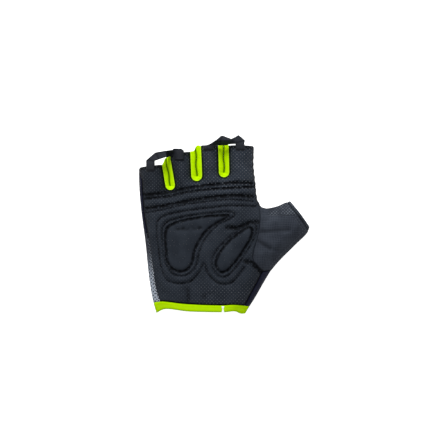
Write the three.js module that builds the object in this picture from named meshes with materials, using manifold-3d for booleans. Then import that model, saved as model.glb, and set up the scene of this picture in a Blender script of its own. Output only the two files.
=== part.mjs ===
// Half-finger fitness glove for the right hand, lying palm up, in millimetres.
// +X points to the thumb, +Y to the fingertips and +Z up from the palm. The back rests on z = 0.
import * as THREE from 'three';
import { mergeVertices } from 'three/addons/utils/BufferGeometryUtils.js';
import Module from 'manifold-3d';

const wasm = await Module();
wasm.setup();

// Driving heights of the glove as it lies
const SEAM_HEIGHT = 4.5;
const SEAM_DEPTH = 3;
const PALM_RISE = 11.5;
const PALM_ROLL = 18;
const FINGER_RISE = 9;
const FINGER_ROLL = 10;
const THUMB_RISE = 10;
const THUMB_ROLL = 13.5;
const BACK_ROLL = 8;
const SLOT_SHOULDER = 2;
const WRIST_FALL = 0.2;
const WRIST_FALL_FROM = 30;
const WRIST_FALL_TO = 75;
const FINGERS_FROM = 15;
const FINGERS_TO = 42;
const THUMB_FROM = 26;
const THUMB_TO = 46;

// Walls of the cloth, and the clearance between sewn pieces
const PALM_WALL = 3;
const THUMB_WALL = 2;
const BACK_WALL = 1.3;
const RIM_WIDTH = 1.8;
const RIM_INSET = 0.2;
const GUSSET_WALL = 1.2;
const BINDING_WALL = 2.2;
const BINDING_PROUD = 0.5;
const RIBBON_WALL = 1.2;
const GAP = 0.3;

// Padding: depth and width of the pressed grooves, and height of the domes between them
const GROOVE_DEPTH = 1.4;
const GROOVE_WIDTH = 2.4;
const GROOVE_SPACING = 5.5;
const PAD_DOME = 1.2;

// Gussets between the fingers, and the slit that parts their two walls
const GUSSET_EDGE = 7.7;
const GUSSET_CREASE = 3;
const GUSSET_OVERHANG = 0.8;
const SLIT_WIDTH = 1;
const SLIT_START = 3;
const SLOT_REACH = 60;
const GUSSET_COLUMNS = [-1.15, -0.6, 0, 0.6, 1.15];
const GUSSET_ROWS = [-1.15, -0.6, 0, 2, 8];

// Pull loops stand a little above the fingertips between their two sewn ends
const RIBBON_HEIGHT = 15.4;
const RIBBON_ARCH = 2;
const RIBBON_CLEAR = 0.75;
const RIBBON_LEAVES = -1;
const RIBBON_FREE = 4;

// Spacing of the curved sheets' points, and their columns beside a side edge
const HAND_BOTTOM = -73;
const HAND_TOP = 70;
const HAND_STEP = 6.5;
const BACK_STEP = 9;
const FINGER_STEP = 5;
const RIBBON_STEP = 2.7;
const SIDE_COLUMNS = [0, 1.6, 3.4, 6];
const BACK_COLUMNS = [0, 1.6, 3.4, 5.6, 8.4];
const SLOT_COLUMN = 4.5;
const THUMB_SHARES = [0, 0.06, 0.14, 0.27, 0.5, 0.73, 0.86, 0.94, 1];
const THUMB_ROW = 0.1;
const THUMB_BINDING_ROWS = [0, 0.08, 0.16, 0.24];
const CUFF_ROWS = [-79, -74, -69.5, -64];
const PRISM_FLOOR = -10;
const PRISM_HEIGHT = 60;

// Fingers from the little finger to the index finger: the two ends of each opening's edge
const FINGERS = [
  { name: 'little', left: -73, leftTop: 48.4, right: -49, rightTop: 51.4 },
  { name: 'ring', left: -49, leftTop: 59.6, right: -25, rightTop: 62.4 },
  { name: 'middle', left: -25, leftTop: 67.2, right: -1.2, rightTop: 67.4 },
  { name: 'index', left: -1.2, leftTop: 67.4, right: 25.4, rightTop: 66.8 },
];

// Slots between the fingers: the rounded lower end, the middle of the upper end, and the width
const SLOTS = [
  { name: 'little_ring', endX: -46.3, endY: 33.2, topX: -50.2, topY: 56, width: 8.3 },
  { name: 'ring_middle', endX: -23.7, endY: 41.5, topX: -24.7, topY: 66, width: 9.6 },
  { name: 'middle_index', endX: -0.3, endY: 44.5, topX: -0.9, topY: 67, width: 9.2 },
];

// Side edges of the glove, each a smooth curve through its points
const LEFT_EDGE = curve([
  [-56, -84], [-58.5, -75], [-61, -66], [-64.3, -47], [-67.6, -16], [-71.2, 12], [-73, 34], [-73, 60],
  [-73, 84],
]);
const INDEX_EDGE = curve([
  [26, 84], [25.2, 62], [24.6, 52], [26.2, 36], [28.2, 20.5], [31.8, 14.8], [36, 13.4],
]);
const THUMB_UPPER_EDGE = curve([[36, 13.4], [41, 14.3], [48.1, 16.5], [56.3, 19.7], [64, 23]]);
const THUMB_LOWER_EDGE = curve([
  [76, 6], [72.9, -2.4], [70.6, -7.6], [60.7, -17.5], [46.9, -31.3], [39.1, -40.5],
]);
const RIGHT_EDGE = curve([
  [39.1, -40.5], [33.1, -50.6], [26.7, -61.9], [20.9, -71.9], [17.8, -77.2], [14, -84],
]);

// Seams inside the outline: where the side pieces meet the palm, and where the thumb is set in
const MESH_SEAM = curve([
  [-55.4, -66.5], [-59.1, -56.5], [-62.1, -37], [-64.4, -18], [-66.6, -4], [-68.8, 8], [-70.2, 30],
  [-70.8, 38], [-76, 47],
]);
const STRIP_SEAM = curve([[32.5, -40.5], [28, -49], [21.9, -60.5], [17, -69.6]]);
const MESH_BACK_SEAM = curve([[-80, -4], [-66, -8], [-54, -22], [-47, -45], [-44, -75]]);
const THUMB_SEAM = curve([[28.4, 24], [30.4, 6], [28.6, -9], [25, -22], [24.6, -31], [32.5, -40.5]]);

// Where the thumb seam's line leaves the glove's side, and lines far outside the glove
const SEAM_EXIT = { x: 60, y: -36.5 };
const FAR = { left: -95, right: 110, top: 60, bottom: -90 };

// Rails of the thumb's cloth, from past its opening to inside the palm
const THUMB_UPPER_RAIL = [
  [64, 23], [56.3, 19.7], [48.1, 16.5], [36, 13.4], [30, 12], [24, 2], [20, -12], [17, -29],
].map(([x, y]) => corner(x, y));
const THUMB_LOWER_RAIL = [
  [76, 6], [72.9, -2.4], [70.6, -7.6], [60.7, -17.5], [46.9, -31.3], [39.1, -40.5], [31, -50],
].map(([x, y]) => corner(x, y));

// The hand's right side where the thumb joins it, and the height where the fingers' columns begin
const HAND_RIGHT = { indexY: 15, indexX: 31.8, wristY: -40.5, wristX: 39.1 };
const FINGER_ROOT = 26;

// Openings of the thumb and the wrist
const THUMB_MOUTH = { upperX: 56.3, upperY: 19.7, lowerX: 72.9, lowerY: -2.1 };
const THUMB_BINDING_WIDTH = 2.6;
const THUMB_BINDING_OVERHANG = 0.2;
const CUFF_UPPER = curve([
  [-62, -67.6], [-54.2, -66], [-32.3, -68.2], [-3, -69.4], [9, -68.8], [22.5, -70.6],
]);
const CUFF_LOWER = curve([
  [-58.6, -76.2], [-51, -72.3], [-30, -74.1], [0, -74.7], [9, -74.2], [14, -76.4], [19.8, -76.2],
]);

// Where the wrist's cut line stops short of the two side edges, and its corner on the right
const WRIST_LINE = { leftX: -59.5, leftY: -65, rightX: 20, rightY: -68.5, cornerX: 20.9, cornerY: -70 };

// Grooves pressed into the padding, each a smooth curve through its points
const GROOVES = [
  {
    name: 'knuckle_upper', closed: false,
    points: [[-66, 26.2], [-41.7, 29.6], [-17.6, 33.4], [22, 36]],
  },
  {
    name: 'knuckle_middle', closed: false,
    points: [[-64.5, 14.3], [-41.7, 18.3], [-17.6, 22.8], [22, 24.6]],
  },
  {
    name: 'heel_outer', closed: false,
    points: [[24, 16], [-10.8, 14.8], [-45.1, 9.7], [-57, 2], [-57.2, -6], [-54.8, -21], [-51.5, -38],
      [-44, -48], [-33, -48.4], [-24, -43], [-18, -32.8], [-10, -30]],
  },
  {
    name: 'heel_pad', closed: true,
    points: [[-47, 1.5], [-51, -11.8], [-47, -34], [-38, -39], [-29, -34], [-24.5, -21.6], [-18, -9],
      [-3, 2.5], [-14, 6.5], [-32, 5.6]],
  },
  {
    name: 'thumb_pad', closed: true,
    points: [[22.5, -2.6], [8, -9], [-4, -22], [-7.4, -34], [-2, -40.6], [7, -35], [18.5, -18]],
  },
  {
    name: 'thumb_pad_outer', closed: false,
    points: [[-15.6, -33], [-12, -44.5], [0, -49.8], [10.3, -44.7], [18, -33]],
  },
];

// Domes of the two pads: middle, half length and half width, and the turn of the long axis in degrees
const PADS = [
  { name: 'heel', x: -36, y: -18, halfLength: 22, halfWidth: 14, turn: 100 },
  { name: 'thumb', x: 6, y: -22, halfLength: 22, halfWidth: 9, turn: 52 },
];

// Ribbons of the pull loops, seen from above: outer edge first, then back along the inner edge
const RIBBONS = [
  {
    name: 'left', fromX: -63.5, toX: -39,
    outline: [[-67.5, 42.5], [-67.4, 55.2], [-58.6, 62.1], [-46.3, 63.9], [-43.8, 65.5], [-36.8, 65.3],
      [-34.8, 63.6], [-34.8, 54.5], [-42.8, 54.5], [-43.6, 58.8], [-48, 58.6], [-59.6, 55], [-59.4, 42.5]],
  },
  {
    name: 'right', fromX: -12, toX: 14,
    outline: [[-17, 60], [-16.6, 67.6], [-9.4, 70.9], [-3.8, 75.8], [-1.7, 76.3], [6, 73.7], [12, 77],
      [18.2, 71.8], [17.4, 67.6], [17.4, 60], [9.4, 60], [9.4, 68.8], [-9, 68.8], [-9, 60]],
  },
];

// Colours of the cloth, with its roughness and metalness
const FINISHES = {
  charcoal: { color: 0x2c3038, roughness: 0.78, metalness: 0 },
  charcoalGrid: { color: 0x2a2e37, roughness: 0.8, metalness: 0 },
  navy: { color: 0x11142a, roughness: 0.7, metalness: 0 },
  greyMesh: { color: 0xa9adb5, roughness: 0.85, metalness: 0 },
  lime: { color: 0xafe405, roughness: 0.65, metalness: 0 },
  black: { color: 0x23252d, roughness: 0.75, metalness: 0 },
};

/** A plan point. */
function corner(x, y) {
  return new THREE.Vector2(x, y);
}

/** A smooth curve through points, as a list of evenly spaced 2-D points. */
function curve(points, closed = false, spacing = 4) {
  const path = new THREE.CatmullRomCurve3(
    points.map(([x, y]) => new THREE.Vector3(x, y, 0)), closed, 'centripetal');
  const spaces = Math.round(path.getLength() / spacing);
  return path.getSpacedPoints(spaces).map((point) => new THREE.Vector2(point.x, point.y));
}

/** Distance from (x, y) to the segment from a to b. */
function segmentDistance(x, y, a, b) {
  const alongX = b.x - a.x;
  const alongY = b.y - a.y;
  const share = ((x - a.x) * alongX + (y - a.y) * alongY) / (alongX ** 2 + alongY ** 2);
  const held = THREE.MathUtils.clamp(share, 0, 1);
  return Math.hypot(x - a.x - held * alongX, y - a.y - held * alongY);
}

/** Distance from (x, y) to an open line of points. */
function lineDistance(x, y, line) {
  let nearest = Infinity;
  for (let i = 1; i < line.length; i += 1) {
    nearest = Math.min(nearest, segmentDistance(x, y, line[i - 1], line[i]));
  }
  return nearest;
}

/** Distance from (x, y) to the middle line of a slot. */
function slotDistance(x, y, slot) {
  const end = { x: slot.endX, y: slot.endY };
  const top = { x: slot.topX, y: slot.topY };
  const stretch = 3;
  const longTop = { x: end.x + stretch * (top.x - end.x), y: end.y + stretch * (top.y - end.y) };
  return segmentDistance(x, y, end, longTop);
}

/** Quarter sine: 0 at the edge, level from reach inwards. */
function rollUp(distance, reach) {
  return Math.sin((Math.PI / 2) * THREE.MathUtils.clamp(distance / reach, 0, 1));
}

const SIDES = [LEFT_EDGE, INDEX_EDGE, THUMB_UPPER_EDGE, THUMB_LOWER_EDGE, RIGHT_EDGE];
const ENVELOPE = [LEFT_EDGE, RIGHT_EDGE, THUMB_LOWER_EDGE, THUMB_UPPER_EDGE, INDEX_EDGE]
  .flatMap((side) => [...side].reverse());

/** Whether (x, y) lies between the glove's side edges. */
function isInside(x, y) {
  let inside = false;
  ENVELOPE.forEach((a, i) => {
    const b = ENVELOPE[(i + 1) % ENVELOPE.length];
    if ((a.y > y) !== (b.y > y) && x < a.x + ((y - a.y) * (b.x - a.x)) / (b.y - a.y)) {
      inside = !inside;
    }
  });
  return inside;
}

/** Distance inwards from (x, y) to the nearest side edge, and 0 outside the glove. */
function sideDistance(x, y) {
  return isInside(x, y) ? Math.min(...SIDES.map((side) => lineDistance(x, y, side))) : 0;
}

/** Height of the upper face before the padding is pressed: it rolls up from each side and each slot. */
function upperFace(x, y) {
  let distance = sideDistance(x, y);
  for (const slot of SLOTS) {
    const clear = Math.max(slotDistance(x, y, slot) - slot.width / 2, 0);
    distance = Math.min(distance, clear + SLOT_SHOULDER);
  }
  const wrist = THREE.MathUtils.smoothstep(-y, WRIST_FALL_FROM, WRIST_FALL_TO);
  const onFingers = THREE.MathUtils.smoothstep(y, FINGERS_FROM, FINGERS_TO);
  const onThumb = THREE.MathUtils.smoothstep(x, THUMB_FROM, THUMB_TO) * (1 - onFingers);
  const share = (palm, finger, thumb) => palm + (finger - palm) * onFingers + (thumb - palm) * onThumb;
  const rise = share(PALM_RISE * (1 - WRIST_FALL * wrist), FINGER_RISE, THUMB_RISE);
  const roll = share(PALM_ROLL, FINGER_ROLL, THUMB_ROLL);
  return SEAM_HEIGHT + SEAM_DEPTH / 2 + rise * rollUp(distance, roll);
}

/** Height of the glove's under face: flat on z = 0, and rolling up to the side seams. */
function underFace(x, y) {
  return (SEAM_HEIGHT - SEAM_DEPTH / 2) * (1 - rollUp(sideDistance(x, y), BACK_ROLL));
}

/** Extra height of the two soft pads. */
function padDome(x, y) {
  let height = 0;
  for (const pad of PADS) {
    const turn = THREE.MathUtils.degToRad(pad.turn);
    const along = (x - pad.x) * Math.cos(turn) + (y - pad.y) * Math.sin(turn);
    const across = (y - pad.y) * Math.cos(turn) - (x - pad.x) * Math.sin(turn);
    const out = (along / pad.halfLength) ** 2 + (across / pad.halfWidth) ** 2;
    height = Math.max(height, PAD_DOME * (1 - Math.min(out, 1)));
  }
  return height;
}

const palmFace = (x, y) => upperFace(x, y) + padDome(x, y);

/** Turns a closed geometry into a solid that can be cut and joined. */
function toSolid(geometry) {
  geometry.deleteAttribute('normal');
  geometry.deleteAttribute('uv');
  const merged = mergeVertices(geometry, 1e-4);
  return new wasm.Manifold(new wasm.Mesh({
    numProp: 3,
    vertProperties: new Float32Array(merged.attributes.position.array),
    triVerts: new Uint32Array(merged.index.array),
  }));
}

/** A closed sheet on rows of plan points, between the heights lower(x, y) and upper(x, y). */
function sheet(rows, lower, upper) {
  const across = rows[0].length;
  const positions = [lower, upper].flatMap((face) => rows.flat().flatMap(({ x, y }) => [x, y, face(x, y)]));
  const lift = rows.length * across;
  const index = [];
  const wall = (a, b) => index.push(a, b, b + lift, a, b + lift, a + lift);
  for (let row = 1; row < rows.length; row += 1) {
    for (let column = 1; column < across; column += 1) {
      const d = row * across + column - 1;
      const c = d + 1;
      const a = d - across;
      const b = c - across;
      index.push(a, c, b, a, d, c);
      index.push(a + lift, b + lift, c + lift, a + lift, c + lift, d + lift);
    }
    wall((row + 1) * across - across - 1, (row + 1) * across - 1);
    wall(row * across, (row - 1) * across);
  }
  for (let column = 1; column < across; column += 1) {
    wall(column - 1, column);
    wall((rows.length - 1) * across + column, (rows.length - 1) * across + column - 1);
  }
  const geometry = new THREE.BufferGeometry();
  geometry.setAttribute('position', new THREE.Float32BufferAttribute(positions, 3));
  geometry.setIndex(index);
  return geometry;
}

/** Numbers from first to last in even steps of about the given size. */
function steps(first, last, size) {
  const count = Math.ceil((last - first) / size);
  return Array.from({ length: count + 1 }, (_, i) => first + ((last - first) * i) / count);
}

/** Rows of a plain rectangular grid over a plan outline. */
function boxRows(outline, step) {
  const box = new THREE.Box2().setFromPoints(outline).expandByScalar(1);
  const columns = steps(box.min.x, box.max.x, step);
  return steps(box.min.y, box.max.y, step).map((y) => columns.map((x) => corner(x, y)));
}

/** Where a line crosses the height y, or its nearest end's x. */
function crossingX(line, y) {
  for (let i = 1; i < line.length; i += 1) {
    const [a, b] = [line[i - 1], line[i]];
    if ((a.y - y) * (b.y - y) <= 0 && a.y !== b.y) {
      return THREE.MathUtils.mapLinear(y, a.y, b.y, a.x, b.x);
    }
  }
  const last = line.at(-1);
  return Math.abs(line[0].y - y) < Math.abs(last.y - y) ? line[0].x : last.x;
}

/** The hand's right side at y: the index finger's edge, a line past the thumb seam, the wrist's edge. */
function handRight(y) {
  const { indexX, indexY, wristX, wristY } = HAND_RIGHT;
  if (y > indexY) {
    return crossingX(INDEX_EDGE, y);
  }
  if (y < wristY) {
    return crossingX(RIGHT_EDGE, y);
  }
  return THREE.MathUtils.mapLinear(y, indexY, wristY, indexX, wristX);
}

/** Columns across the fingers at y: close to both sides, and along and beside both edges of each slot. */
function fingerColumns(y) {
  const left = crossingX(LEFT_EDGE, y);
  const right = handRight(y);
  const columns = SIDE_COLUMNS.map((inset) => left + inset);
  for (const slot of SLOTS) {
    const middle = THREE.MathUtils.mapLinear(y, slot.endY, slot.topY, slot.endX, slot.topX);
    const edge = slot.width / 2;
    columns.push(middle - edge - SLOT_COLUMN, middle - edge, middle + edge, middle + edge + SLOT_COLUMN);
  }
  return [...columns, ...[...SIDE_COLUMNS].reverse().map((inset) => right - inset)];
}

/** Columns across the palm at y: the fingers' own above their roots, and like shares of the width below. */
function palmColumns(y) {
  const root = fingerColumns(FINGER_ROOT);
  const left = crossingX(LEFT_EDGE, y);
  const right = handRight(y);
  const shared = root.map((x) => THREE.MathUtils.mapLinear(x, root[0], root.at(-1), left, right));
  return y >= FINGER_ROOT ? fingerColumns(y) : shared;
}

/** Columns across the back at y: close to both sides, with one in the middle. */
function backColumns(y) {
  const left = crossingX(LEFT_EDGE, y);
  const right = handRight(y);
  return [
    ...BACK_COLUMNS.map((inset) => left + inset), (left + right) / 2,
    ...[...BACK_COLUMNS].reverse().map((inset) => right - inset),
  ];
}

/** Rows across the hand at the given heights. */
const handRows = (heights, columnsAt) => heights.map((y) => columnsAt(y).map((x) => corner(x, y)));
const HAND_HEIGHTS = [
  ...steps(HAND_BOTTOM, FINGER_ROOT, HAND_STEP),
  ...steps(FINGER_ROOT, HAND_TOP, FINGER_STEP).slice(1),
];
const BACK_HEIGHTS = steps(HAND_BOTTOM, HAND_TOP, BACK_STEP);

/** Rows across the thumb, ruled between its upper and lower rails, for shares of the rails' length. */
function thumbRows(shares) {
  const upper = new THREE.SplineCurve(THUMB_UPPER_RAIL);
  const lower = new THREE.SplineCurve(THUMB_LOWER_RAIL);
  return shares.map((share) => {
    const [from, to] = [lower.getPointAt(share), upper.getPointAt(share)];
    return THUMB_SHARES.map((across) => from.clone().lerp(to, across));
  });
}

/** The upright prism over a plan outline. */
function prism(outline) {
  const geometry = new THREE.ExtrudeGeometry(new THREE.Shape(outline), {
    depth: PRISM_HEIGHT, bevelEnabled: false, steps: 1,
  });
  geometry.translate(0, 0, PRISM_FLOOR);
  return toSolid(geometry);
}

/** A piece of cloth: the sheet on rows of points between two heights, inside a plan area. */
const cloth = (rows, area, lower, upper) => toSolid(sheet(rows, lower, upper)).intersect(area);

/** A line of points moved sideways, to the left of its direction where side is positive. */
function sidestep(line, side) {
  return line.map((point, i) => {
    const before = line[Math.max(i - 1, 0)];
    const after = line[Math.min(i + 1, line.length - 1)];
    const length = Math.hypot(after.x - before.x, after.y - before.y);
    const normal = { x: -(after.y - before.y) / length, y: (after.x - before.x) / length };
    return new THREE.Vector2(point.x + side * normal.x, point.y + side * normal.y);
  });
}

/** The plan outline of a band of even width along a line. */
function band(line, width) {
  return [...sidestep(line, -width / 2), ...sidestep(line, width / 2).reverse()];
}

/** The plan outline of a slot with its rounded lower end, reaching past the fingertips. */
function slotOutline(slot, width) {
  const lean = Math.atan2(slot.topX - slot.endX, slot.topY - slot.endY);
  const radius = width / 2;
  const arcSteps = 6;
  const outline = [];
  for (let i = 0; i <= arcSteps; i += 1) {
    const angle = -lean + Math.PI + (Math.PI * i) / arcSteps;
    outline.push(corner(slot.endX + radius * Math.cos(angle), slot.endY + radius * Math.sin(angle)));
  }
  const along = corner(Math.sin(lean), Math.cos(lean)).multiplyScalar(SLOT_REACH);
  return [...outline, outline[arcSteps].clone().add(along), outline[0].clone().add(along)];
}

/** The edge of the finger openings, from the index finger to the little finger, stepped at each slot. */
function fingerEdge() {
  const edge = [];
  for (const finger of [...FINGERS].reverse()) {
    edge.push(corner(finger.right, finger.rightTop), corner(finger.left, finger.leftTop));
  }
  return edge;
}

/** The plan outline of the whole glove without its cuff and thumb binding. */
function gloveOutline() {
  const thumbCut = thumbLine(THUMB_BINDING_WIDTH + GAP);
  const indexTop = FINGERS[3].rightTop;
  const littleTop = FINGERS[0].leftTop;
  const cuff = sidestep(CUFF_UPPER, GAP);
  const inThumb = (point) => thumbDepth(point) > THUMB_BINDING_WIDTH + GAP;
  return [
    ...cuff.filter((point) => point.x > WRIST_LINE.leftX && point.x < WRIST_LINE.rightX),
    corner(WRIST_LINE.cornerX, WRIST_LINE.cornerY),
    ...[...RIGHT_EDGE].reverse().filter((point) => point.y > WRIST_LINE.rightY),
    ...[...THUMB_LOWER_EDGE].reverse().filter(inThumb).slice(1),
    thumbCut.lower,
    thumbCut.upper,
    ...[...THUMB_UPPER_EDGE].reverse().filter(inThumb).slice(0, -1),
    ...[...INDEX_EDGE].reverse().filter((point) => point.y < indexTop - 1),
    ...fingerEdge(),
    ...[...LEFT_EDGE].reverse().filter((point) => point.y < littleTop - 1 && point.y > WRIST_LINE.leftY),
  ];
}

/** How far a point lies inside the thumb's opening. */
function thumbDepth(point) {
  const { upperX, upperY, lowerX, lowerY } = THUMB_MOUTH;
  const length = Math.hypot(lowerX - upperX, lowerY - upperY);
  const across = { x: (lowerX - upperX) / length, y: (lowerY - upperY) / length };
  return (point.x - upperX) * across.y - (point.y - upperY) * across.x;
}

/** The thumb's cut line at a depth inside its opening, from the upper edge to the lower edge. */
function thumbLine(depth) {
  const crossing = (line) => {
    for (let i = 1; i < line.length; i += 1) {
      const before = thumbDepth(line[i - 1]) - depth;
      const after = thumbDepth(line[i]) - depth;
      if (before * after <= 0) {
        return line[i - 1].clone().lerp(line[i], before / (before - after));
      }
    }
    return null;
  };
  return { upper: crossing(THUMB_UPPER_EDGE), lower: crossing(THUMB_LOWER_EDGE) };
}

/** Makes the named mesh of a solid. */
function piece(name, solid, finish) {
  const mesh = solid.getMesh();
  const geometry = new THREE.BufferGeometry();
  geometry.setAttribute('position', new THREE.BufferAttribute(mesh.vertProperties, 3));
  geometry.setIndex(new THREE.BufferAttribute(mesh.triVerts, 1));
  geometry.computeVertexNormals();
  const result = new THREE.Mesh(geometry, new THREE.MeshStandardMaterial(FINISHES[finish]));
  result.name = name;
  return result;
}

const palmInner = (x, y) => Math.max(palmFace(x, y) - PALM_WALL, SEAM_HEIGHT + GAP / 2);
const thumbInner = (x, y) => Math.max(upperFace(x, y) - THUMB_WALL, SEAM_HEIGHT + GAP / 2);
const backInner = (x, y) => underFace(x, y) + BACK_WALL;
const wrapInner = (x, y) => upperFace(x, y) - BACK_WALL;

/** The rim joins an under and an upper wall just inside a side edge. */
const rimLower = (x, y) => underFace(x, y) + RIM_INSET;
const rimUpper = (x, y) => upperFace(x, y) - RIM_INSET;
const rimArea = (side) => prism(band(side, 2 * RIM_WIDTH)).subtract(prism(band(side, 2 * RIM_INSET)));

/** The plan area beside a line that was moved sideways, closed through far corners. */
function areaBeside(line, side, ...far) {
  return prism([...sidestep(line, side), ...far.map(([x, y]) => corner(x, y))]);
}

/** Areas that split the glove's cloth. A positive inset draws the area back from its seam. */
const meshWrapArea = (inset) => areaBeside(
  MESH_SEAM, inset, [FAR.left, FAR.top], [FAR.left, FAR.bottom], [MESH_SEAM[0].x, FAR.bottom]);
const stripArea = (inset) => areaBeside(
  [...STRIP_SEAM].reverse(), -inset,
  [SEAM_EXIT.x, SEAM_EXIT.y], [SEAM_EXIT.x, FAR.bottom], [STRIP_SEAM.at(-1).x, FAR.bottom]);
const thumbArea = (inset) => {
  const line = sidestep([...THUMB_SEAM].reverse(), -inset);
  line[0].y += inset;
  return prism([
    ...line, corner(FAR.right, FAR.top), corner(FAR.right, SEAM_EXIT.y),
    corner(SEAM_EXIT.x, SEAM_EXIT.y + inset),
  ]);
};
const meshArea = (inset) => areaBeside(
  [...MESH_BACK_SEAM].reverse(), inset,
  [FAR.left, MESH_BACK_SEAM[0].y], [FAR.left, FAR.bottom], [MESH_BACK_SEAM.at(-1).x, FAR.bottom]);

/** The plan area of a groove: a band along an open line, or a ring along a closed one. */
function grooveArea(groove) {
  const line = curve(groove.points, groove.closed, GROOVE_SPACING);
  if (!groove.closed) {
    return prism(band(line, GROOVE_WIDTH));
  }
  const loop = [line.at(-2), ...line, line[1]];
  const outer = sidestep(loop, GROOVE_WIDTH / 2).slice(1, -2);
  const inner = sidestep(loop, -GROOVE_WIDTH / 2).slice(1, -2);
  const outerIsWide = Math.abs(THREE.ShapeUtils.area(outer)) > Math.abs(THREE.ShapeUtils.area(inner));
  const [wide, narrow] = outerIsWide ? [outer, inner] : [inner, outer];
  return prism(wide).subtract(prism(narrow));
}

/** The padded palm: the glove's area without its side strips and thumb, slotted and grooved. */
function palmPanel() {
  const rows = handRows(HAND_HEIGHTS, palmColumns);
  let solid = cloth(rows, gloveArea, palmInner, palmFace)
    .subtract(meshWrapArea(-GAP / 2))
    .subtract(stripArea(-GAP / 2))
    .subtract(thumbArea(-GAP / 2));
  for (const slot of SLOTS) {
    solid = solid.subtract(prism(slotOutline(slot, slot.width)));
  }
  const grooveFloor = (x, y) => palmFace(x, y) - GROOVE_DEPTH;
  const clear = (x, y) => palmFace(x, y) + 2 * PALM_WALL;
  const pressed = toSolid(sheet(rows, grooveFloor, clear));
  for (const groove of GROOVES) {
    solid = solid.subtract(pressed.intersect(grooveArea(groove)));
  }
  return solid;
}

/** The palm side of the thumb. */
function thumbPanel() {
  const rows = thumbRows(steps(0, 1, THUMB_ROW));
  return cloth(rows, gloveArea, thumbInner, upperFace).intersect(thumbArea(GAP / 2));
}

/** The back of the hand with the strips that wrap round both side edges, closed at the rim. */
function backShell() {
  const rows = handRows(BACK_HEIGHTS, backColumns);
  const wraps = meshWrapArea(GAP / 2).add(stripArea(GAP / 2).subtract(thumbArea(-GAP)));
  const hand = cloth(rows, gloveArea, underFace, backInner);
  const thumb = cloth(thumbRows(steps(0, 1, THUMB_ROW)), gloveArea, underFace, backInner);
  const top = cloth(rows, gloveArea, wrapInner, upperFace).intersect(wraps);
  const rim = cloth(rows, gloveArea, rimLower, rimUpper)
    .intersect(rimArea(LEFT_EDGE).add(rimArea(RIGHT_EDGE)))
    .intersect(wraps);
  let shell = hand.add(thumb).add(top).add(rim);
  for (const slot of SLOTS) {
    shell = shell.subtract(prism(slotOutline(slot, SLIT_WIDTH)));
  }
  return shell;
}

/** A lime gusset: a valley between two fingers, rounded at its lower end and slit along its crease. */
function gusset(slot, leftFinger, rightFinger) {
  const half = slot.width / 2 - GAP;
  const valley = (x, y) => {
    const out = Math.min(Math.hypot(x, Math.min(y, 0)) / half, 1);
    return GUSSET_CREASE + (GUSSET_EDGE - GUSSET_CREASE) * out;
  };
  const rows = GUSSET_ROWS.map((row) => GUSSET_COLUMNS.map((column) => corner(column * half, row * half)));
  const geometry = sheet(rows, (x, y) => valley(x, y) - GUSSET_WALL, valley);
  const lean = Math.atan2(slot.topX - slot.endX, slot.topY - slot.endY);
  geometry.rotateZ(-lean);
  geometry.translate(slot.endX, slot.endY, 0);
  const slit = {
    ...slot,
    endX: slot.endX + SLIT_START * Math.sin(lean),
    endY: slot.endY + SLIT_START * Math.cos(lean),
  };
  const leftTop = leftFinger.rightTop + GUSSET_OVERHANG;
  const rightTop = rightFinger.leftTop + GUSSET_OVERHANG;
  const far = 40;
  const above = (height, side) => prism([
    corner(slot.topX, height), corner(slot.topX + side * far, height),
    corner(slot.topX + side * far, height + far), corner(slot.topX, height + far),
  ]);
  return toSolid(geometry)
    .intersect(prism(slotOutline(slot, 2 * half)))
    .subtract(prism(slotOutline(slit, SLIT_WIDTH)))
    .subtract(above(leftTop, -1))
    .subtract(above(rightTop, 1));
}

/** The height of the finger openings' edge at x. */
function fingerTop(x) {
  const finger = FINGERS.find((each) => x <= each.right) ?? FINGERS.at(-1);
  const share = THREE.MathUtils.clamp((x - finger.left) / (finger.right - finger.left), 0, 1);
  return THREE.MathUtils.lerp(finger.leftTop, finger.rightTop, share);
}

/** A pull loop: a ribbon lying on two fingertips and arching across the gap between them. */
function pullLoop(ribbon) {
  const lower = (x, y) => {
    const past = THREE.MathUtils.smoothstep(y - fingerTop(x), RIBBON_LEAVES, RIBBON_FREE);
    const across = THREE.MathUtils.clamp((x - ribbon.fromX) / (ribbon.toX - ribbon.fromX), 0, 1);
    const arch = RIBBON_HEIGHT + RIBBON_ARCH * Math.sin(Math.PI * across);
    return THREE.MathUtils.lerp(upperFace(x, y) + RIBBON_CLEAR, arch, past);
  };
  const upper = (x, y) => lower(x, y) + RIBBON_WALL;
  const outline = ribbon.outline.map(([x, y]) => corner(x, y));
  return cloth(boxRows(outline, RIBBON_STEP), prism(outline), lower, upper);
}

/** A binding folded round an opening: a short tube between two side edges, hollow inside its walls. */
function bindingRing(outline, rows, [firstSide, secondSide]) {
  const upper = (x, y) => upperFace(x, y) + BINDING_PROUD;
  const upperInner = (x, y) => upper(x, y) - BINDING_WALL;
  const underInner = (x, y) => underFace(x, y) + BINDING_WALL - BINDING_PROUD;
  const mouth = prism([...sidestep(firstSide, -RIM_WIDTH), ...sidestep(secondSide, -RIM_WIDTH)]);
  const hollowTop = (x, y) => Math.max(upperInner(x, y), underInner(x, y) + GAP);
  const hollow = toSolid(sheet(rows, underInner, hollowTop));
  return cloth(rows, prism(outline), underFace, upper)
    .intersect(prism(ENVELOPE))
    .subtract(hollow.intersect(mouth));
}

/** The plan outline of the thumb's binding. */
function thumbBindingOutline() {
  const outer = thumbLine(0);
  const inner = thumbLine(THUMB_BINDING_WIDTH);
  const wide = (from, to, share) => from.clone().lerp(to, share);
  const [before, after] = [-THUMB_BINDING_OVERHANG, 1 + THUMB_BINDING_OVERHANG];
  return [
    wide(outer.lower, outer.upper, before), wide(outer.lower, outer.upper, after),
    wide(inner.lower, inner.upper, after), wide(inner.lower, inner.upper, before),
  ];
}

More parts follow.
